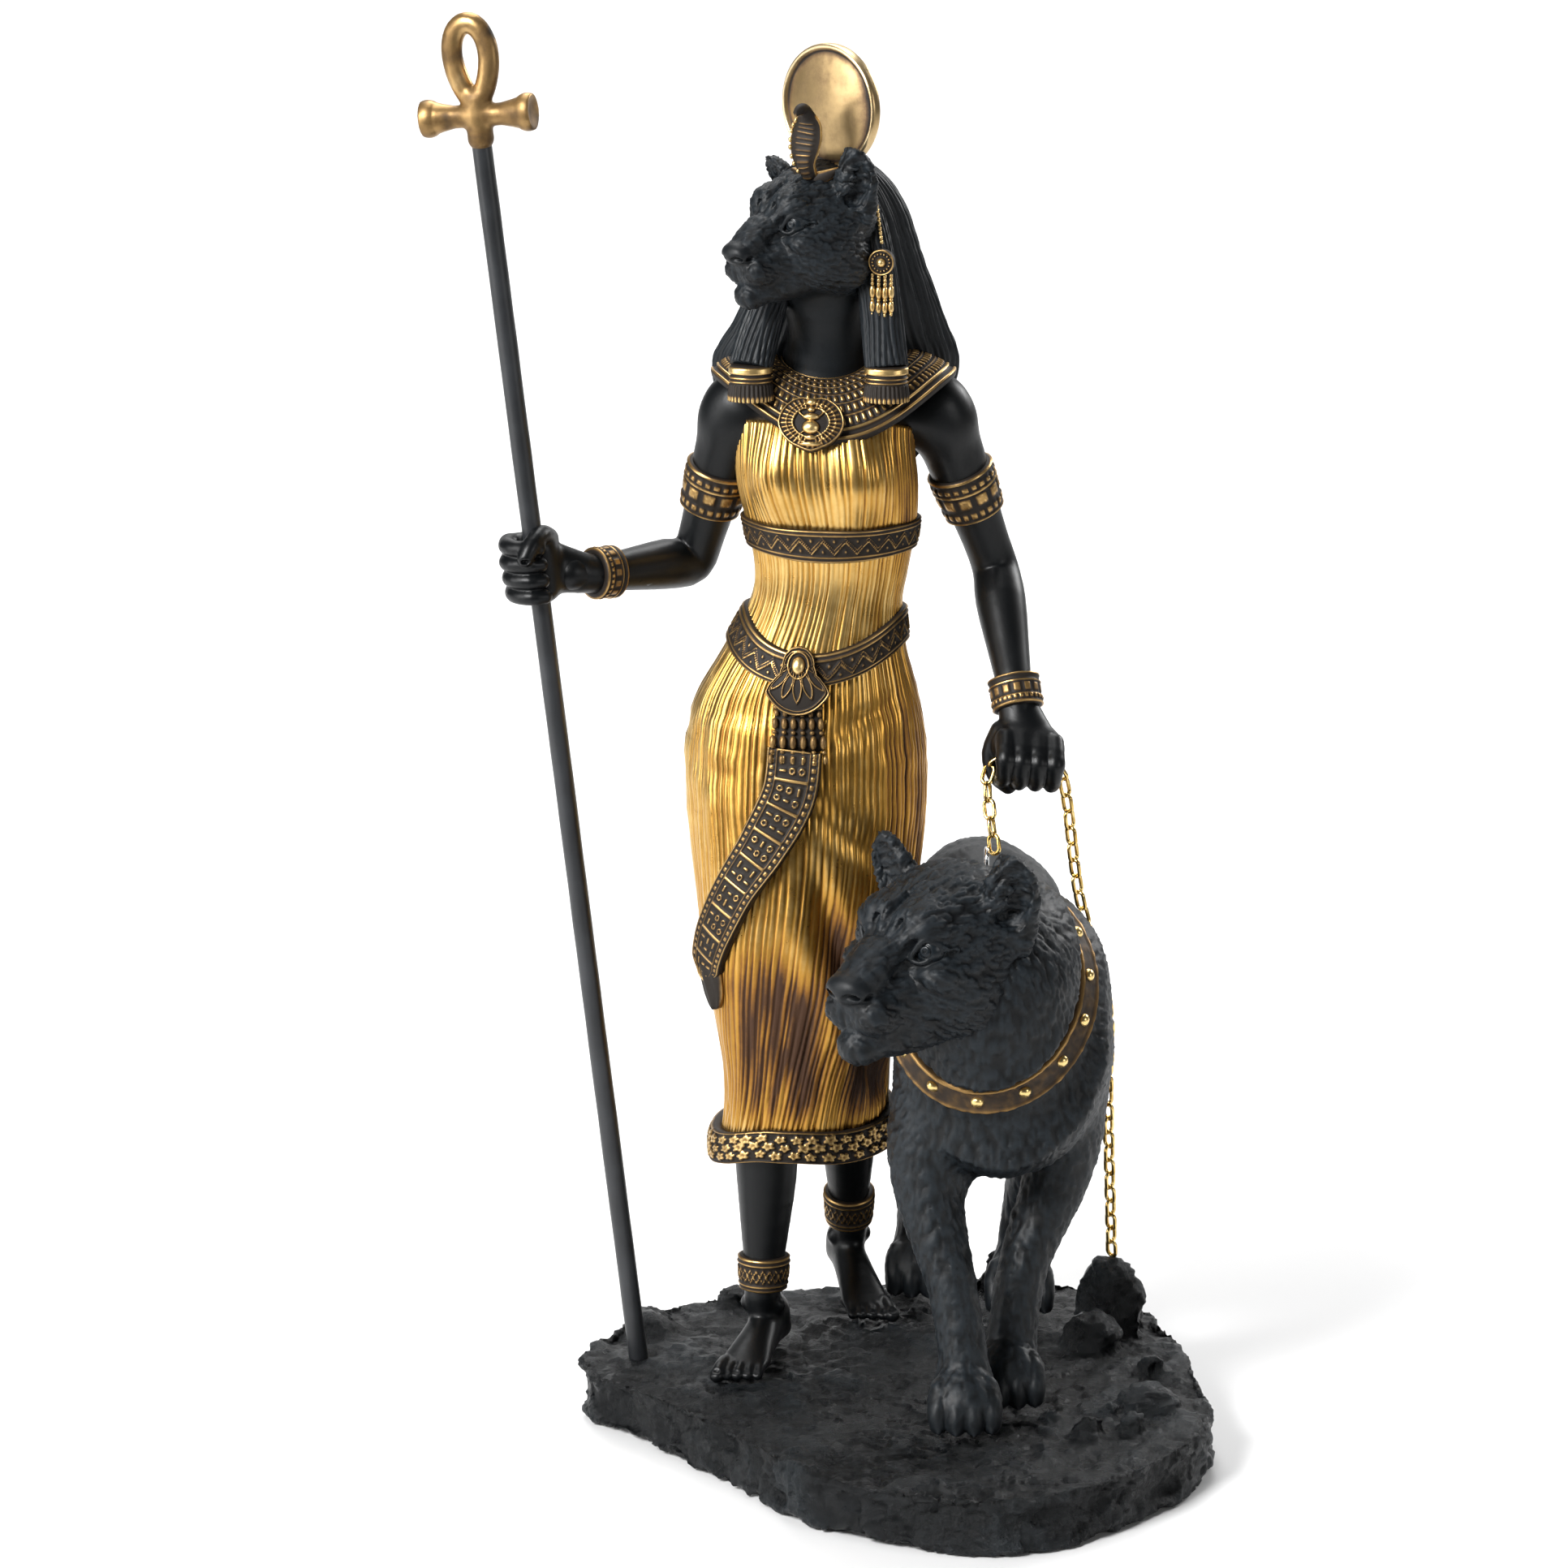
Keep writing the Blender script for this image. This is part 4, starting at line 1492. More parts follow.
def scarab_relief(x, y, far):
    """Wing strokes round a beetle of stacked lobes."""
    turn = np.arctan2(y, x)
    strokes = (0.5 + 0.5 * np.cos(turn * 34)) ** 0.7
    strokes = strokes * soft_step(far, 0.5, 0.62) * soft_step(0.95 - far, 0, 0.06)
    rings = ridge(far, 0.97, 0.05) + ridge(far, 0.56, 0.045) + ridge(far, 0.75, 0.03) * 0.6
    body = np.zeros(x.shape)
    for at, wide, tall, rise in ((0.74, 0.17, 0.16, 1.5), (0.46, 0.13, 0.12, 1.2), (0.2, 0.27, 0.13, 1.5),
                                 (-0.16, 0.27, 0.25, 1.8), (-0.52, 0.2, 0.1, 1.2), (-0.74, 0.36, 0.09, 1.3)):
        lobe = 1 - ((x / wide) ** 2 + ((y - at) / tall) ** 2)
        body = np.maximum(body, rise * np.sqrt(np.clip(lobe, 0, 1)))
    for high, wide, tall in ((0.42, 0.36, 0.26), (-0.5, 0.34, 0.24)):
        claw = ridge(np.hypot(x / wide, (y - high) / tall), 1, 0.16) * (np.abs(x) > 0.12)
        body = np.maximum(body, 0.85 * claw)
    beside = np.abs(x) + 0.35 * np.abs(y) > 0.3
    return np.maximum(np.minimum(strokes * 0.75 + rings, 1) * beside, body)


def heart_outline(turn):
    """Round shoulders above, with the sides drawn in to a blunt point below."""
    at = np.degrees((turn + math.pi / 2) % TURN)
    return np.interp(at, [0, 24, 55, 90, 125, 152, 180, 208, 235, 270, 305, 336, 360],
                     [0.97, 0.9, 0.93, 1.0, 1.0, 0.98, 0.86, 0.98, 1.0, 1.0, 0.93, 0.9, 0.97])


def scarab():
    heap = Heap()
    middle = collar_spot(np.array(math.radians(-101)), np.array(0.82), 0.75) + column(0, -0.2, -1.1)
    plate(heap, middle, column(0.99, -0.1, 0), column(0.03, 0.48, 0.88), (6.6, 5.9), heart_outline,
          scarab_relief, 0.7, 0.72, 76)
    heap.set_down("scarab", TRIM_GOLD)


# What hangs from the belt.

def fan_outline(turn):
    """A bell: narrow and round above, drawn in and then flaring to a fan with an arched foot."""
    at = np.degrees((turn + math.pi / 2) % TURN)
    half = [1.0, 0.99, 0.985, 1.02, 0.74, 0.58, 0.64, 0.86, 0.97, 1.0]
    return np.interp(np.where(at > 180, 360 - at, at), [0, 30, 50, 70, 90, 108, 132, 152, 166, 180], half)


def fan_relief(x, y, far):
    """A lotus of pointed petals below an oval stone, inside a double rim."""
    turn, reach = np.arctan2(x, 0.62 - y), np.hypot(x, y - 0.62)
    petals = np.zeros(x.shape)
    for k in range(-3, 4):
        share = np.clip((reach - 0.3) / (1.02 - 0.05 * abs(k)), 0, 1)
        edge = np.abs(turn - k * 0.36) - 0.2 * np.sin(np.pi * share ** 0.8) ** 0.8
        leaf = soft_step(-edge, 0, 0.05) * (share > 0) * (share < 1)
        petals = np.maximum(petals, leaf * (0.25 + 0.75 * ridge(edge, -0.04, 0.05)))
    petals = petals * (far < 0.84)
    mound = np.sqrt(np.clip(1 - (x / 0.2) ** 2 - ((y - 0.44) / 0.27) ** 2, 0, 1))
    frame = ridge(np.hypot(x / 0.3, (y - 0.44) / 0.38), 1, 0.14)
    rims = np.maximum(ridge(far, 0.96, 0.045), ridge(far, 0.87, 0.03) * 0.8)
    return np.maximum.reduce([petals * 0.9, mound * 1.9, frame * 0.9, rims])


def buckle():
    heap = Heap()
    middle = on_body(front_turn(-4, 144), 143.6, 2.0)
    plate(heap, middle, column(0.99, -0.14, 0), column(0.04, 0.26, 0.96), (6.9, 7.0), fan_outline,
          fan_relief, 0.6, 0.6, 76)
    heap.set_down("belt_buckle", TRIM_GOLD)


def bead(heap, start, end, radius, sides=8, gold=1.0):
    """A long bead from one end to the other."""
    along = unit(end - start)
    u = unit(np.cross(along, column(0.2, 1, 0.3)))
    w = np.cross(along, u)
    ends = ((0.0, 0.35), (0.12, 0.8), (0.35, 1.0), (0.5, 1.0), (0.65, 1.0), (0.88, 0.8), (1.0, 0.35))
    rings = [around(between(start, end, t), u, w, full_turn(sides), radius * share) for t, share in ends]
    heap.add(*capped(rings), gold)


def belt_tassels():
    """Six strands of beads of several lengths, in front of a dark backing."""
    heap = Heap()
    rows = []
    for z in np.linspace(139.4, 129.8, 8):
        stand = [0.6, *[1.25] * 12, 0.6]
        front = [on_front(x, z, out) for x, out in zip(np.linspace(-9.0, 0.4, 14), stand)]
        rows.append([*front, on_front(0.0, z, -0.6), on_front(-8.6, z, -0.6)])
    heap.add(*capped(rows), 0.0)
    tiers = ((137.9, 136.6, 0.5), (136.4, 134.2, 0.62), (134.0, 133.2, 0.5), (133.0, 130.4, 0.66),
             (130.2, 129.4, 0.5), (129.2, 127.4, 0.56))
    for k in range(6):
        for high, low, radius in tiers:
            x = -4.3 + (k - 2.5) * 1.5 + (k - 2.5) * 0.05 * (138 - low)
            bead(heap, on_front(x, high, 1.9), on_front(x, low, 1.9), radius, gold=0.62)
    ends = [on_front(x, 138.4, 1.7) for x in (-9, -6.6, -4.3, -2, 0.4)]
    for a, b in zip(ends[:-1], ends[1:]):
        bead(heap, a, b, 0.46, gold=0.7)
    heap.set_down("belt_tassels", TRIM_GOLD)


SASH = [[-5, 130], [-6.2, 121], [-11, 111], [-16.4, 101.8], [-20.0, 93], [-21.6, 86.5], [-21.9, 81]]


def sash():
    """A stiff patterned sash that sweeps round to her right, its cells filled with shallow strokes."""
    spots = np.array([on_front(x, z, 1.0) for x, z in smoothed(SASH, 14)])
    run = run_along(spots)
    steps = np.linspace(0, run[-1], 230)
    along = unit(spread(steps, run, unit(np.gradient(spots, axis=0))))
    spots = spread(steps, run, spots)
    outward = unit(spots - column(-1.6, 0.4, 0) - np.stack([0 * steps, 0 * steps, spots[:, 2]], -1))
    side = unit(np.cross(along, outward))
    outward = np.cross(side, along)
    length, across = np.meshgrid(steps, np.linspace(-1, 1, 38), indexing="ij")
    share = length / steps[-1]
    half = (5.5 - 0.8 * soft_step(share, 0.2, 0.6)) * (1 - 0.45 * soft_step(share, 0.93, 1.0))
    cell = np.floor(length / 6.1).astype(np.int64)
    within = length / 6.1 - cell
    borders = np.maximum(ridge(np.abs(across), 0.95, 0.055), ridge(np.abs(across), 0.64, 0.045))
    blocks = cells(length / 1.5, np.abs(across), 0.69, 0.89, 0.2) * 0.55
    frame = soft_step(np.abs(within - 0.5), 0.42, 0.47) * (np.abs(across) < 0.6) * 0.85
    lanes, beats = (across + 0.54) / 0.36, (within - 0.14) / 0.36
    lane, beat = np.floor(lanes).astype(np.int64), np.floor(beats).astype(np.int64)
    place = np.stack([lane, beat + 3 * cell, 0 * cell], -1)
    u, w = lanes % 1 - 0.5, beats % 1 - 0.5
    kind = scatter(place, 61)
    upright = soft_step(0.4 - np.abs(w), 0, 0.1) * ridge(u, 0, 0.26)
    level = soft_step(0.4 - np.abs(u), 0, 0.1) * ridge(w, 0, 0.22)
    hook = np.maximum(ridge(np.hypot(u, w), 0.26, 0.16), 0)
    strokes = np.where(kind < 0.4, upright, np.where(kind < 0.72, level, hook))
    strokes = strokes * (np.abs(across) < 0.54) * (np.abs(within - 0.5) < 0.36) * 0.75
    height = np.maximum.reduce([borders, blocks * 1.3, frame, strokes * 1.25])
    height[-3:] = 1
    top = spots[:, None] + side[:, None] * (half * across)[..., None]
    top = top + outward[:, None] * (1.0 + 0.46 * height - 0.5 * across ** 2)[..., None]
    edges = (half[:, :2] * np.array([[1.0, -1.0]]))[..., None]
    under = spots[:, None] + side[:, None] * edges - outward[:, None] * 0.9
    points, faces = capped(np.concatenate([top, under], 1))
    set_down("sash", points, faces, np.append(with_back(height), [0, 0]), TRIM_GOLD)


def sash_fold():
    """The plain end of the sash, turned under in a dark rounded tip with a gilded edge."""
    rings = []
    turn = full_turn(36)
    for t in np.linspace(0, 1, 26):
        middle = on_front(-21.6 + 1.3 * t, 84 - 9 * t, 0.9)
        half = 3.6 * math.sqrt(max(1 - 0.96 * t ** 2.2, 0.01))
        away = unit(column(middle[0] + 2, middle[1], 0))
        sideways = column(-away[1], away[0], 0)
        ripple = 0.16 * np.cos(turn * 6 + t * 4) * (np.sin(turn) > 0)
        rings.append(around(middle, sideways, away, turn, half, 1.1 + ripple))
    points, faces = capped(rings)
    relief = np.append(np.tile(np.abs(np.cos(turn)) ** 5, 26) * 0.8, [0.3, 0.6])
    set_down("sash_fold", points, faces, relief, TRIM_GOLD)


# The wig.

WIG = [
    [183, 2.5, 11, 15.6, 4], [187, 2.6, 10.4, 19.5, 5.6], [193, 2.8, 9.5, 22.4, 6.8], [204, 3.2, 7.4, 24.6, 9],
    [213, 4, 5.6, 20.8, 9.8], [225, 4.6, 3.5, 15.9, 10.6], [236, 4.4, 1.5, 12.4, 11], [243.5, 2.6, 0, 9, 8.6],
    [247.4, 1, -1, 3.4, 3.4],
]


def strands(across, length, count, seed):
    """Locks of hair lying side by side, each a rounded strand with a few finer hairs."""
    lane = across * count + 0.35 * np.sin(length * 3.1 + np.floor(across * count / 5) * 1.9)
    k = np.floor(lane).astype(np.int64)
    u = lane - k
    place = np.stack([k % count, 0 * k, 0 * k], -1)
    tall = 0.65 + 0.35 * scatter(place, seed)
    return tall * np.sqrt(np.clip(1 - (2 * u - 1) ** 2, 0, 1)) * (0.9 + 0.1 * np.cos(u * TURN * 3))


def wig():
    rows = smoothed(WIG, 10)
    turn, r = np.meshgrid(full_turn(300), np.arange(len(rows)))
    z, cx, cy, a, b = (rows[r, k] for k in range(5))
    lock = strands(turn / TURN, z / 16, 74, 5)
    clumps = 0.45 * np.sin(turn * 11 + z * 0.05) + 0.3 * np.sin(turn * 23 - z * 0.03)
    end = soft_step(z, 183, 188)
    taper = np.clip((247.6 - z) / 8, 0.1, 1)
    out = ((lock - 0.6) * 0.85 * (0.4 + 0.6 * end) + clumps * 0.5) * taper
    tips = (1 - soft_step(z, 183, 186)) * 1.6 * (lock - 0.3)
    rings = np.stack([cx + (a + out) * np.cos(turn), cy + (b + out) * np.sin(turn), z - tips], -1)
    points, faces = capped(rings)
    set_down("wig", points, faces, np.append(np.clip(lock, 0, 1).ravel(), [0.5, 0.5]), HAIR_BLACK)


LAPPETS = {
    "right": [[-7, -4, 226, 3.0, 3.0], [-9.4, -6.4, 221, 3.5, 3.0], [-12.2, -9.4, 213, 4.0, 2.8],
              [-13.9, -12.4, 206.6, 4.2, 2.7]],
    "left": [[9, -5.6, 236, 3.2, 3.2], [10.2, -8.2, 229, 3.8, 3.3], [11.9, -11, 216, 4.1, 2.9],
             [12.9, -13.4, 206.6, 4.2, 2.7]],
}


def tube(rows, side, steps):
    """The steps round a tube and along its rows, and the middle and two directions across it at each."""
    spots = rows[:, :3]
    along = unit(np.gradient(spots, axis=0))
    u = unit(side - along * (along @ side)[:, None])
    turn, r = np.meshgrid(full_turn(steps), np.arange(len(rows)))
    return turn, r, spots[r], u[r], np.cross(along, u)[r]


def lappets():
    for which, seed in (("right", 3), ("left", 7)):
        line = smoothed(LAPPETS[which], 16)
        turn, r, spots, u, w = tube(line, column(1, 0, 0), 120)
        lock = strands(turn / TURN, line[r, 2] / 12, 22, seed)
        out = (lock - 0.6) * 0.75
        points, faces = capped(around(spots, u, w, turn, line[r, 3] + out, line[r, 4] + out))
        relief = np.append(np.clip(lock, 0, 1).ravel(), [0.3, 0.3])
        set_down(f"{which}_lappet", points, faces, relief, HAIR_BLACK)
        lappet_end(which, line[-1, :3])


def lappet_end(which, top):
    """The end of a lappet: a plain gilded band and a ridge over a dark fringe with gold tips."""
    turn, v = np.meshgrid(full_turn(168), np.linspace(0, 1, 34))
    band = soft_step(v, 0.02, 0.05) * soft_step(0.25 - v, 0, 0.04)
    ridges = edge_lines(v, (0.34, 0.05), (0.45, 0.045))
    strand = np.abs(np.cos(turn * 15)) ** 0.8 * soft_step(v, 0.5, 0.55)
    height = np.maximum.reduce([band, ridges, 0.8 * strand])
    gold = np.maximum.reduce([band, ridges * 0.9, strand * (0.35 + 0.65 * soft_step(v, 0.8, 0.93))])
    middle = top + column(0, 0, 0.3) + column(0, -1.2, -6.9) * v[..., None]
    swell = 0.3 * soft_step(v, 0.4, 0.9)
    a, b = 3.95 + swell + 0.4 * height, 2.75 + swell + 0.4 * height
    rings = middle + np.stack([a * np.cos(turn), -b * np.sin(turn), 0 * turn], -1)
    points, faces = capped(rings)
    set_down(f"{which}_lappet_end", points, faces, np.append(gold.ravel(), [0, 0]), TRIM_GOLD)


# Sun disc, cobra and earring.

DISC_AT = column(1.9, -7, 257.4)
DISC_TURN = -43
DISC_PROFILE = [  # how far out and how far forward
    (0, 1.45), (3, 1.38), (6, 1.15), (8.5, 0.85), (10.2, 0.55), (10.8, 0.42), (11.2, 0.75), (11.6, 1.15),
    (12.0, 1.15), (12.3, 0.7), (12.35, 0), (12.3, -0.7), (12.0, -1.15), (11.4, -1.3), (10.9, -0.95),
    (8, -0.8), (0, -0.7),
]


def sun_disc():
    """A domed disc with a rim, turned on the lathe of its own outline and set upright."""
    profile = smoothed(DISC_PROFILE, 3)[1:-1]
    place = turned(DISC_TURN)
    turn = full_turn(120)
    rings = []
    for reach, level in profile:
        x, y, z = max(reach, 0.05) * np.cos(turn), 0 * turn, max(reach, 0.05) * np.sin(turn)
        ripple = 0.03 * rough(np.stack([x, y, z], -1), 2.0, 2, 8)
        rings.append(np.stack([x, -(level + ripple), z], -1) @ place.T + DISC_AT)
    points, faces = capped(rings)
    marks, golds = [0, 9.6, 10.5, 10.9, 11.3, 11.7, 12.4], [0.55, 0.5, 0.3, 0.0, 0.6, 1, 0.7]
    levels = np.interp(profile[:, 0], marks, golds)
    stains = 0.3 * rough(points[:-2] * column(1, 1, 0.6), 6.0, 3, 12)
    relief = np.append(np.clip(np.repeat(levels, 120) + stains, 0, 1), [0.5, 0.4])
    set_down("sun_disc", points, faces, relief, PALE_GOLD)


COBRA = [
    [-1.6, -12.4, 243.4, 1.9, 1.3], [-2.5, -14.0, 245.4, 1.9, 1.2], [-3.2, -14.6, 247.4, 2.5, 1.1],
    [-3.2, -14.5, 249.8, 3.4, 1.0], [-2.9, -14.3, 252.4, 3.7, 0.95], [-2.6, -14.3, 254.8, 3.2, 1.0],
    [-2.8, -14.8, 256.8, 2.0, 1.05], [-3.4, -15.9, 258.2, 1.35, 1.0], [-4.2, -17.2, 258.3, 1.25, 0.9],
    [-5.1, -18.4, 257.7, 0.6, 0.5],
]
BROW_ACROSS = column(0.9, -0.43, 0)


def cobra():
    """The cobra on her brow: a wide dark hood with a ribbed throat and beaded edge, over a crescent."""
    line = smoothed(COBRA, 8)
    turn, r, spots, u, w = tube(line, BROW_ACROSS, 52)
    run = r / (len(line) - 1)
    facing = np.sign((w[:, 0, 0] * -0.43 + w[:, 0, 1] * -0.9).mean())
    front = np.sin(turn) * facing
    throat = soft_step(front, 0.62, 0.9) * soft_step(0.66 - run, 0, 0.08)
    ribs = throat * (0.1 + 0.62 * (0.5 + 0.5 * np.cos(run * 130)) ** 2)
    rim = np.exp(-((np.abs(np.cos(turn)) - 1) / 0.07) ** 2) * soft_step(0.72 - run, 0, 0.1)
    crown = soft_step(run, 0.78, 0.86) * ridge(front, 1.0, 0.25) * 0.8
    height = np.maximum.reduce([ribs, rim, crown])
    rings = around(spots, u, w, turn, line[r, 3] * 0.84 + 0.2 * height, line[r, 4] + 0.4 * height)
    heap = Heap()
    heap.add(*capped(rings), np.append(height.ravel(), [0, 0.5]))
    for k in range(8):
        t = int(len(line) * (0.16 + 0.062 * k))
        across, out = u[t, 0], w[t, 0]
        spot = spots[t, 0] - across * (line[t, 3] * 0.84 + 0.1) * np.sign(across[0]) + out * facing * 0.35
        bead(heap, spot - column(0, 0, 0.5), spot + column(0, 0, 0.5), 0.44, 7)
    arc = []
    for k in range(19):
        swing = (k - 9) / 9
        spot = column(-1.6, -13.2, 243.9) + BROW_ACROSS * swing * 4.9
        spot = spot + column(0.43, 0.9, 0) * (swing ** 2 * 2.0 - 0.6)
        spot = spot + column(0, 0, 1.9 * swing ** 2 + 0.35 * swing)
        arc.append([*spot, 1.5 * math.sqrt(max(1 - swing ** 2, 0.04)), 0.7])
    arc = np.array(arc)
    turn, r, spots, u, w = tube(arc, column(0, 0, 1), 20)
    rings = around(spots, u, w, turn, arc[r, 3], arc[r, 4])
    heap.add(*capped(rings), np.append((np.abs(np.cos(turn)) ** 2).ravel(), [1, 1]))
    heap.set_down("brow_cobra", TRIM_GOLD)


EARRING_BEADS = ((0.8, 0.34), (0.8, 0.34), (0.8, 0.36), (2.6, 0.6), (0.5, 0.4), (2.4, 0.56), (0.7, 0.3))


def earring():
    """A bead chain, a ringed disc with a domed middle, and four strands of long beads."""
    heap = Heap()
    middle = column(11.9, -13.6, 227.6)
    right, up = unit(column(0.97, -0.22, 0)), column(0, 0, 1)

    def face(x, y, far):
        boss = 2.0 * np.sqrt(np.clip(1 - (far / 0.36) ** 2, 0, 1))
        dots = ridge(far, 0.66, 0.13) * (0.5 + 0.5 * np.cos(np.arctan2(y, x) * 16)) ** 1.5
        return np.maximum.reduce([boss, dots * 1.2, ridge(far, 0.93, 0.12)])

    plate(heap, middle, right, up, (2.6, 2.6), np.ones_like, face, 0.5, 0.5, 50, 0.2)
    top = column(10.6, -11.2, 240.5)
    for k in range(11):
        at = between(top, middle + column(0, 0.4, 3.4), (k + 0.5) / 11)
        bead(heap, at + column(0, 0, 0.42), at - column(0, 0, 0.42), 0.36, 6)
    for k in range(4):
        x = (k - 1.5) * 1.25
        start = middle + right * x + up * (-2.3 - 0.25 * (1.5 - abs(k - 1.5)))
        z = 0.0
        for length, radius in EARRING_BEADS:
            bead(heap, start - up * z, start - up * (z + length), radius, 7)
            z += length * 0.98
    heap.set_down("earring", TRIM_GOLD)


# The staff and its looped cross.

STAFF_ABOVE_FIST = 91.6
STAFF_TOP = column(*GRIPS["right"]) + STAFF_LINE * STAFF_ABOVE_FIST
STAFF_RADIUS = 1.98
CROSS_BAR = [
    [-11.2, 0, 0, 3.6, 3.2], [-10.4, 0, 0, 3.75, 3.3], [-8.6, 0, 0, 3.0, 2.8], [-5, 0, 0, 2.25, 2.1],
    [0, 0, 0, 2.2, 2.1], [5, 0, 0, 2.25, 2.1], [8.6, 0, 0, 3.0, 2.8], [10.4, 0, 0, 3.75, 3.3],
    [11.2, 0, 0, 3.6, 3.2],
]


def looped_cross():
    lean_x = math.degrees(math.atan2(STAFF_LINE[0], STAFF_LINE[2]))
    lean_y = -math.degrees(math.atan2(STAFF_LINE[1], STAFF_LINE[2]))
    place = turned(-18) @ leaned(lean_x) @ nodded(lean_y)
    carving = Carving([-14, -5, -8], [14, 5, 23], CROSS_CELL)
    bar = [limb([start, end], side=(0, 0, 1)) for start, end in zip(CROSS_BAR[:-1], CROSS_BAR[1:])]
    carving.add(sum(bar, []), 0.6)
    for side in (-1, 1):
        carving.cut(egg([side * 13.2, 0, 0], [1.9, 6, 6]), 0.3)
        carving.cut(egg([side * 12.0, 0, 0], [0.7, 2.5, 2.8]), 0.4)
    loop = []
    for k in range(37):
        turn = k / 36 * TURN
        x = 4.4 * math.sin(turn) * (0.42 + 0.58 * math.sin(turn / 2))
        loop.append([x, 0, 2.6 + 15.5 * (0.5 - 0.5 * math.cos(turn)), 1.75, 2.1])
    carving.add(limb(loop, side=(0, 1, 0), steps=1), 0.9)
    carving.add(limb([[0, 0, -4.4, 2.6, 2.6], [0, 0, 3, 2.4, 2.4]]), 1.2)
    points, faces = carving.skin()
    worn = rough(points, 4.0, 3, 44)
    points = points + normals_of(points, faces) * (worn * 0.08)[:, None]
    relief = np.clip(0.55 + 0.6 * worn, 0, 1)
    set_down("gilded_looped_cross", points @ place.T + STAFF_TOP, faces, relief, ANTIQUE_GOLD, "looped_cross")


def staff():
    turn = full_turn(28)
    u = unit(np.cross(STAFF_LINE, column(0, 1, 0)))
    w = np.cross(STAFF_LINE, u)
    length = np.linalg.norm(STAFF_TOP - STAFF_FOOT) - 1.0
    rings = []
    for t in np.linspace(0, length, 90):
        uneven = grain(np.stack([np.cos(turn) * 3, np.sin(turn) * 3, 0 * turn + t / 5], -1), 1.4, 3)
        far = STAFF_RADIUS - (0.25 if t in (0, length) else 0) + 0.035 * uneven
        rings.append(around(STAFF_FOOT + STAFF_LINE * t, u, w, turn, far))
    points, faces = capped(rings)
    set_down("staff", points, faces, np.full(len(points), 0.5), ROD, "staff_rod")


# The leash.

LINK_PITCH = 3.56


def chain_route():
    """Where the chain runs, in the model's frame: strap, left fist, tall stone."""
    beast = LIONESS_AT - column(0, 0, 0.3)
    grip = column(*GRIPS["left"]) + GODDESS_AT - column(0, 0, 0.3)
    knots = [beast + column(-1.2, -8, 110), grip + column(-7.6, 0, -2), grip + column(-5, 0, 0.4),
             grip + column(5, 0, -0.4), grip + column(6.8, 0.6, -3), beast + column(16.4, 1, 98),
             beast + column(22.2, 2, 76), beast + column(23, 8, 55), column(45, 33, 27.98) + BASE_AT]
    knots = [2 * knots[0] - knots[1], *knots, 2 * knots[-1] - knots[-2]]
    spots = []
    for p, q, r, s in zip(knots, knots[1:], knots[2:], knots[3:]):
        gaps = [max(np.linalg.norm(b - a), 1e-6) ** 0.5 for a, b in ((p, q), (q, r), (r, s))]
        leave = ((q - p) / gaps[0] - (r - p) / (gaps[0] + gaps[1]) + (r - q) / gaps[1]) * gaps[1]
        arrive = ((r - q) / gaps[1] - (s - q) / (gaps[1] + gaps[2]) + (s - r) / gaps[2]) * gaps[1]
        spots += [eased(q, r, leave, arrive, t) for t in np.arange(40) / 40]
    return np.array([*spots, knots[-2]])


def leash_chain():
    """Oval links along the route, each turned a quarter from the one before."""
    spots = chain_route()
    run = run_along(spots)
    count = round(run[-1] / LINK_PITCH)
    line = spread((np.arange(count) + 0.5) / count * run[-1], run, spots)
    growth = Growth("leash_links", Link_length=0.0046, Link_width=0.003, Wire_radius=0.00043,
                    Quarter_turn=math.pi / 2)
    path = growth.node("GeometryNodeMeshToCurve", {"Mesh": growth["Geometry"]})["Curve"]
    marks = growth.node("GeometryNodeCurveToPoints", {"Curve": path}, mode="EVALUATED")
    twice = growth["Wire radius"] * 2.0
    sockets = {"Width": growth["Link width"] - twice, "Height": growth["Link length"] - twice}
    outline = growth.node("GeometryNodeCurvePrimitiveQuadrilateral", sockets)["Curve"]
    sockets = {"Curve": outline, "Radius": growth["Link width"] * 0.47 - growth["Wire radius"], "Count": 4}
    oval = growth.node("GeometryNodeFilletCurve", sockets, mode="POLY")["Curve"]
    sockets = {"Resolution": 7, "Radius": growth["Wire radius"]}
    wire = growth.node("GeometryNodeCurvePrimitiveCircle", sockets)["Curve"]
    link = growth.node("GeometryNodeCurveToMesh", {"Curve": oval, "Profile Curve": wire})["Mesh"]
    upright = growth.moved(link, Rotation=(math.pi / 2, 0.0, 0.0))
    odd = growth.node("GeometryNodeInputIndex")[0].math("MODULO", 2.0)
    sockets = {"Axis": (0.0, 0.0, 1.0), "Angle": (odd - 0.5) * growth["Quarter turn"]}
    spin = growth.node("FunctionNodeAxisAngleToRotation", sockets)[0]
    sockets = {"Rotation": marks["Rotation"], "Rotate By": spin}
    facing = growth.node("FunctionNodeRotateRotation", sockets, rotation_space="LOCAL")[0]
    sockets = {"Points": marks["Points"], "Instance": upright, "Rotation": facing}
    links = growth.node("GeometryNodeInstanceOnPoints", sockets)[0]
    growth.grown(links, "leash_chain", CHAIN, "leash_chain", line)


# The stage.

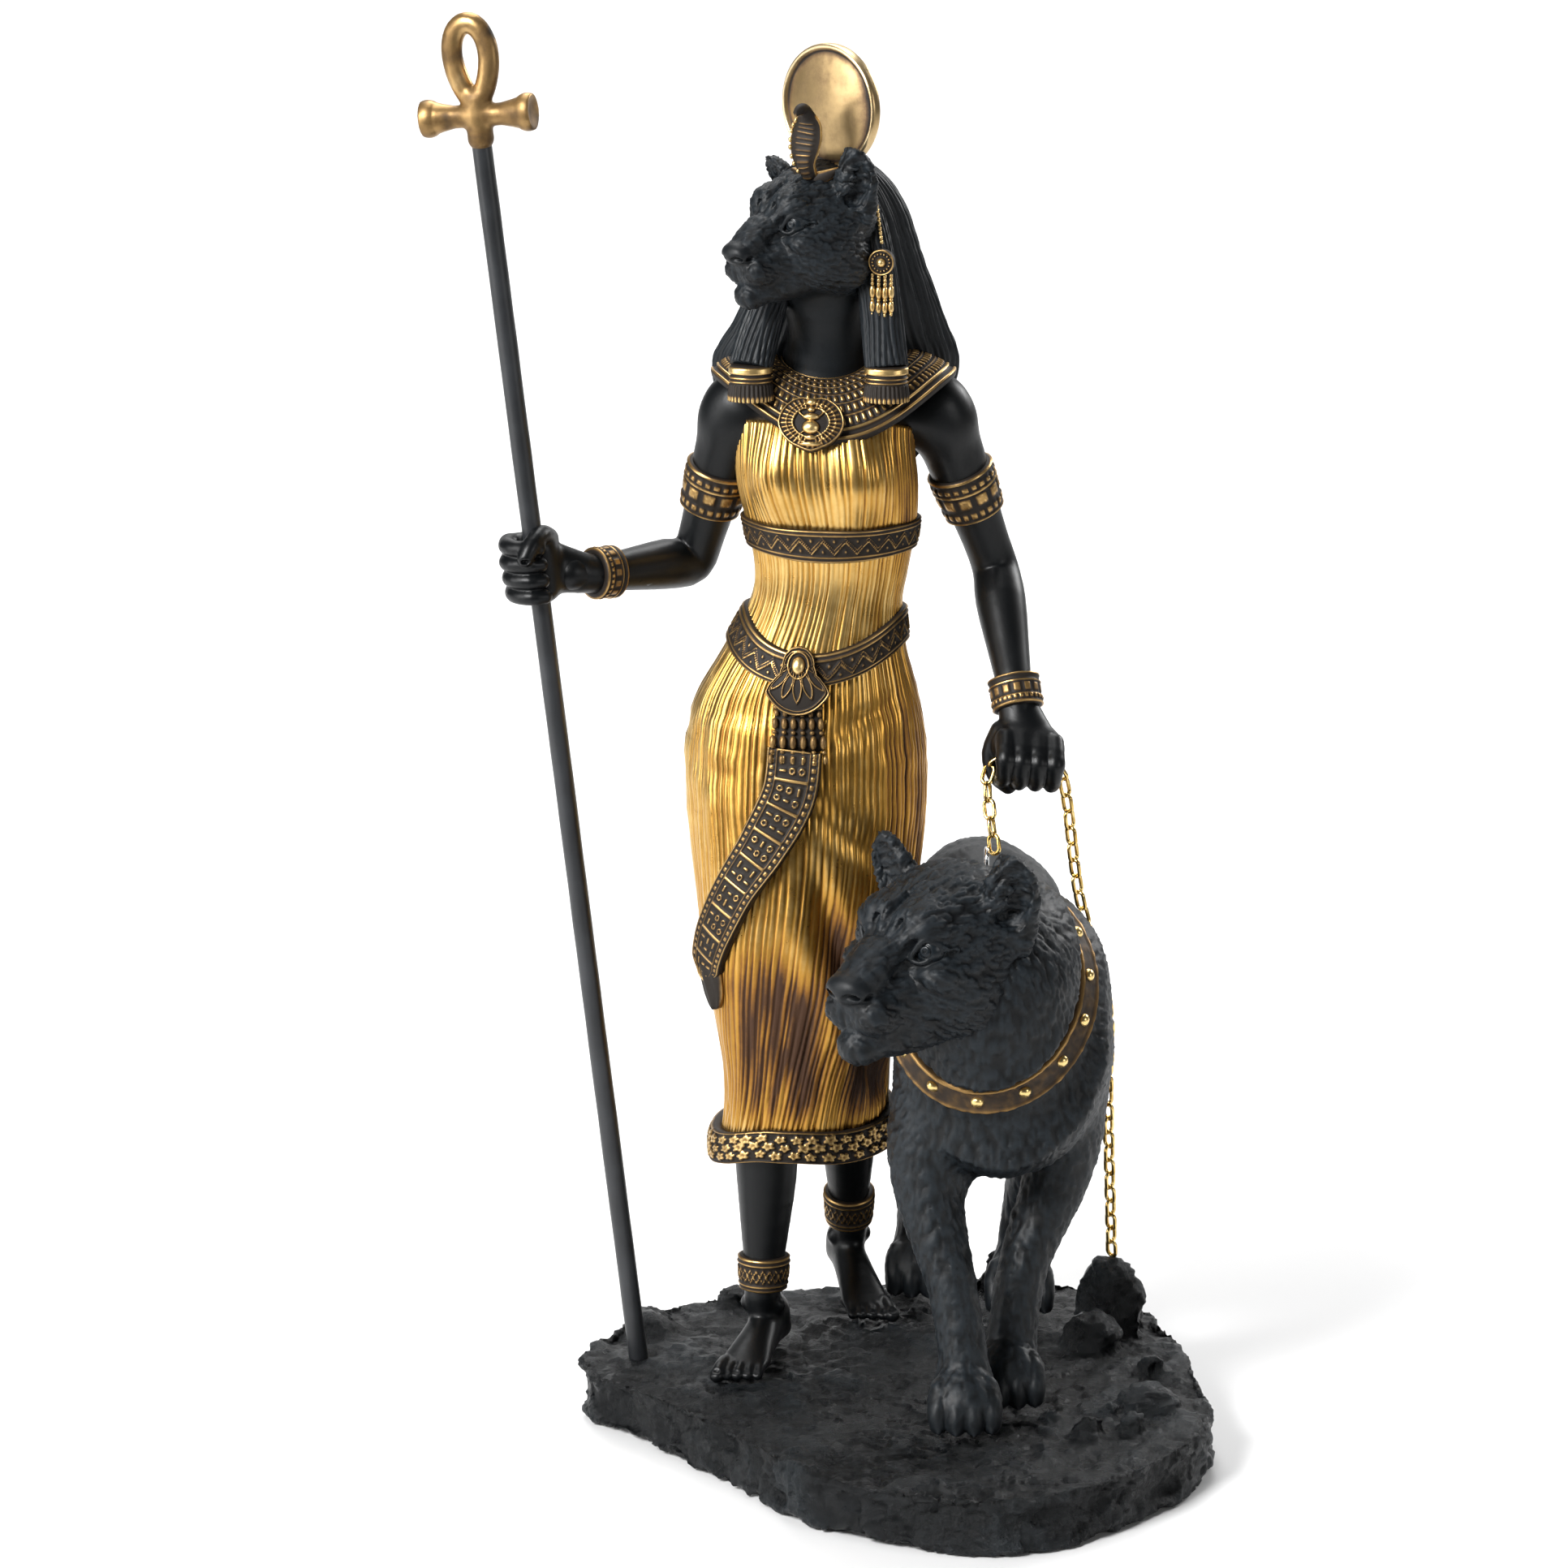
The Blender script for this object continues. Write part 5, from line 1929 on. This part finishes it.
FLOOR_PROFILE = [(-0.34, 0.0), (1.55, 0.0), (1.8, 0.03), (2.05, 0.12), (2.2, 0.3), (2.3, 0.6), (2.34, 2.6)]
FLOOR_SIDES = (-1.6, 1.6)
FLOOR_DROP = 0.0002  # a little below the underside
FLOOR_WHITE = 0.76
AMBIENT = 0.07
LAMPS = [  # a name, a place, a size, a power and what it points at, in metres and watts
    ("key", (-0.72, -0.82, 0.85), 0.42, 25.0, (0, 0, 0.14)),
    ("side", (-0.95, -0.35, 0.35), 0.5, 5.0, (0, 0, 0.14)),
    ("fill", (0.95, -0.8, 0.4), 0.4, 2.4, (0, 0, 0.14)),
    ("top", (-0.1, 0.15, 1.1), 0.5, 3.0, (0, 0, 0.14)),
    ("rim", (0.7, 0.6, 0.55), 0.35, 5.0, (0, 0, 0.14)),
    ("wall", (0.0, 1.05, 1.4), 1.0, 31.0, (0, 1.7, 0)),
]
CAMERA_AIM = Vector((-0.00807, 0.00309, 0.1365))
CAMERA_AWAY = 1.218
CAMERA_RISE = math.radians(15)
LENS_MM = 140.0
SENSOR_MM = 36.0


def stage():
    """A white floor that curves up far behind the figurine, soft lamps round it and a faint white world."""
    mesh = bpy.data.meshes.new("floor")
    spots = [(x, y, z - FLOOR_DROP) for y, z in FLOOR_PROFILE for x in FLOOR_SIDES]
    faces = [(2 * k, 2 * k + 1, 2 * k + 3, 2 * k + 2) for k in range(len(FLOOR_PROFILE) - 1)]
    mesh.from_pydata(spots, [], faces)
    mesh.shade_smooth()
    paint = Paint("floor_white")
    mottle = paint.noise(3.0, 2.0)
    mesh.materials.append(paint.coat(Base_Color=(*[FLOOR_WHITE] * 3, 1.0), Roughness=mottle * 0.1 + 0.75))
    floor = bpy.data.objects.new("floor", mesh)
    bpy.context.scene.collection.objects.link(floor)

    world = bpy.data.worlds.new("studio")
    world.use_nodes = True
    sky = world.node_tree.nodes["Background"].inputs
    sky["Color"].default_value = (1.0, 1.0, 1.0, 1.0)
    sky["Strength"].default_value = AMBIENT
    bpy.context.scene.world = world
    bpy.context.scene.view_settings.view_transform = "Standard"
    for row in LAMPS:
        lamp(*row)


def lamp(name, spot, size, power, aim):
    light = bpy.data.lights.new(name, "AREA")
    light.energy = power
    light.size = size
    holder = bpy.data.objects.new(name, light)
    holder.location = spot
    holder.rotation_euler = (Vector(aim) - Vector(spot)).to_track_quat("-Z", "Y").to_euler()
    bpy.context.scene.collection.objects.link(holder)


def camera():
    lens = bpy.data.cameras.new("camera")
    lens.lens, lens.sensor_width, lens.sensor_fit = LENS_MM, SENSOR_MM, "HORIZONTAL"
    lens.clip_start, lens.clip_end = 0.05, 20.0
    holder = bpy.data.objects.new("camera", lens)
    back = Vector((0, -math.cos(CAMERA_RISE), math.sin(CAMERA_RISE)))
    holder.location = CAMERA_AIM + back * CAMERA_AWAY
    holder.rotation_euler = (math.radians(90) - CAMERA_RISE, 0, 0)
    bpy.context.scene.collection.objects.link(holder)
    bpy.context.scene.camera = holder


def goddess_head():
    neck = [[1.2, 0.2, 196, 11.5, 9.4], [1.2, -0.2, 203, 9.2, 8.6], [1.4, -1.4, 212, 8.0, 7.8],
            [0.6, -3.4, 222, 8.8, 9.0], [0.2, -4.6, 229, 9.4, 9.4]]
    lion_head("goddess_head", "goddess", neck, GODDESS_HEAD_AT, GODDESS_HEAD_TURN, 0, 1.0, [-17, -26, -36],
              [17, 22, 17], [[-12.5, -2.6, 9.9], [11.9, 0.4, 13.8]], True)


for make in (
    camera, stage, lioness_body, lioness_collar, collar_studs, rock_base, goddess_head, upper_body, hands,
    legs, dress, bands, arm_and_ankle_bands, broad_collar, scarab, buckle, belt_tassels, sash, sash_fold,
    wig, lappets, sun_disc, cobra, earring, looped_cross, staff, leash_chain,
):
    make()
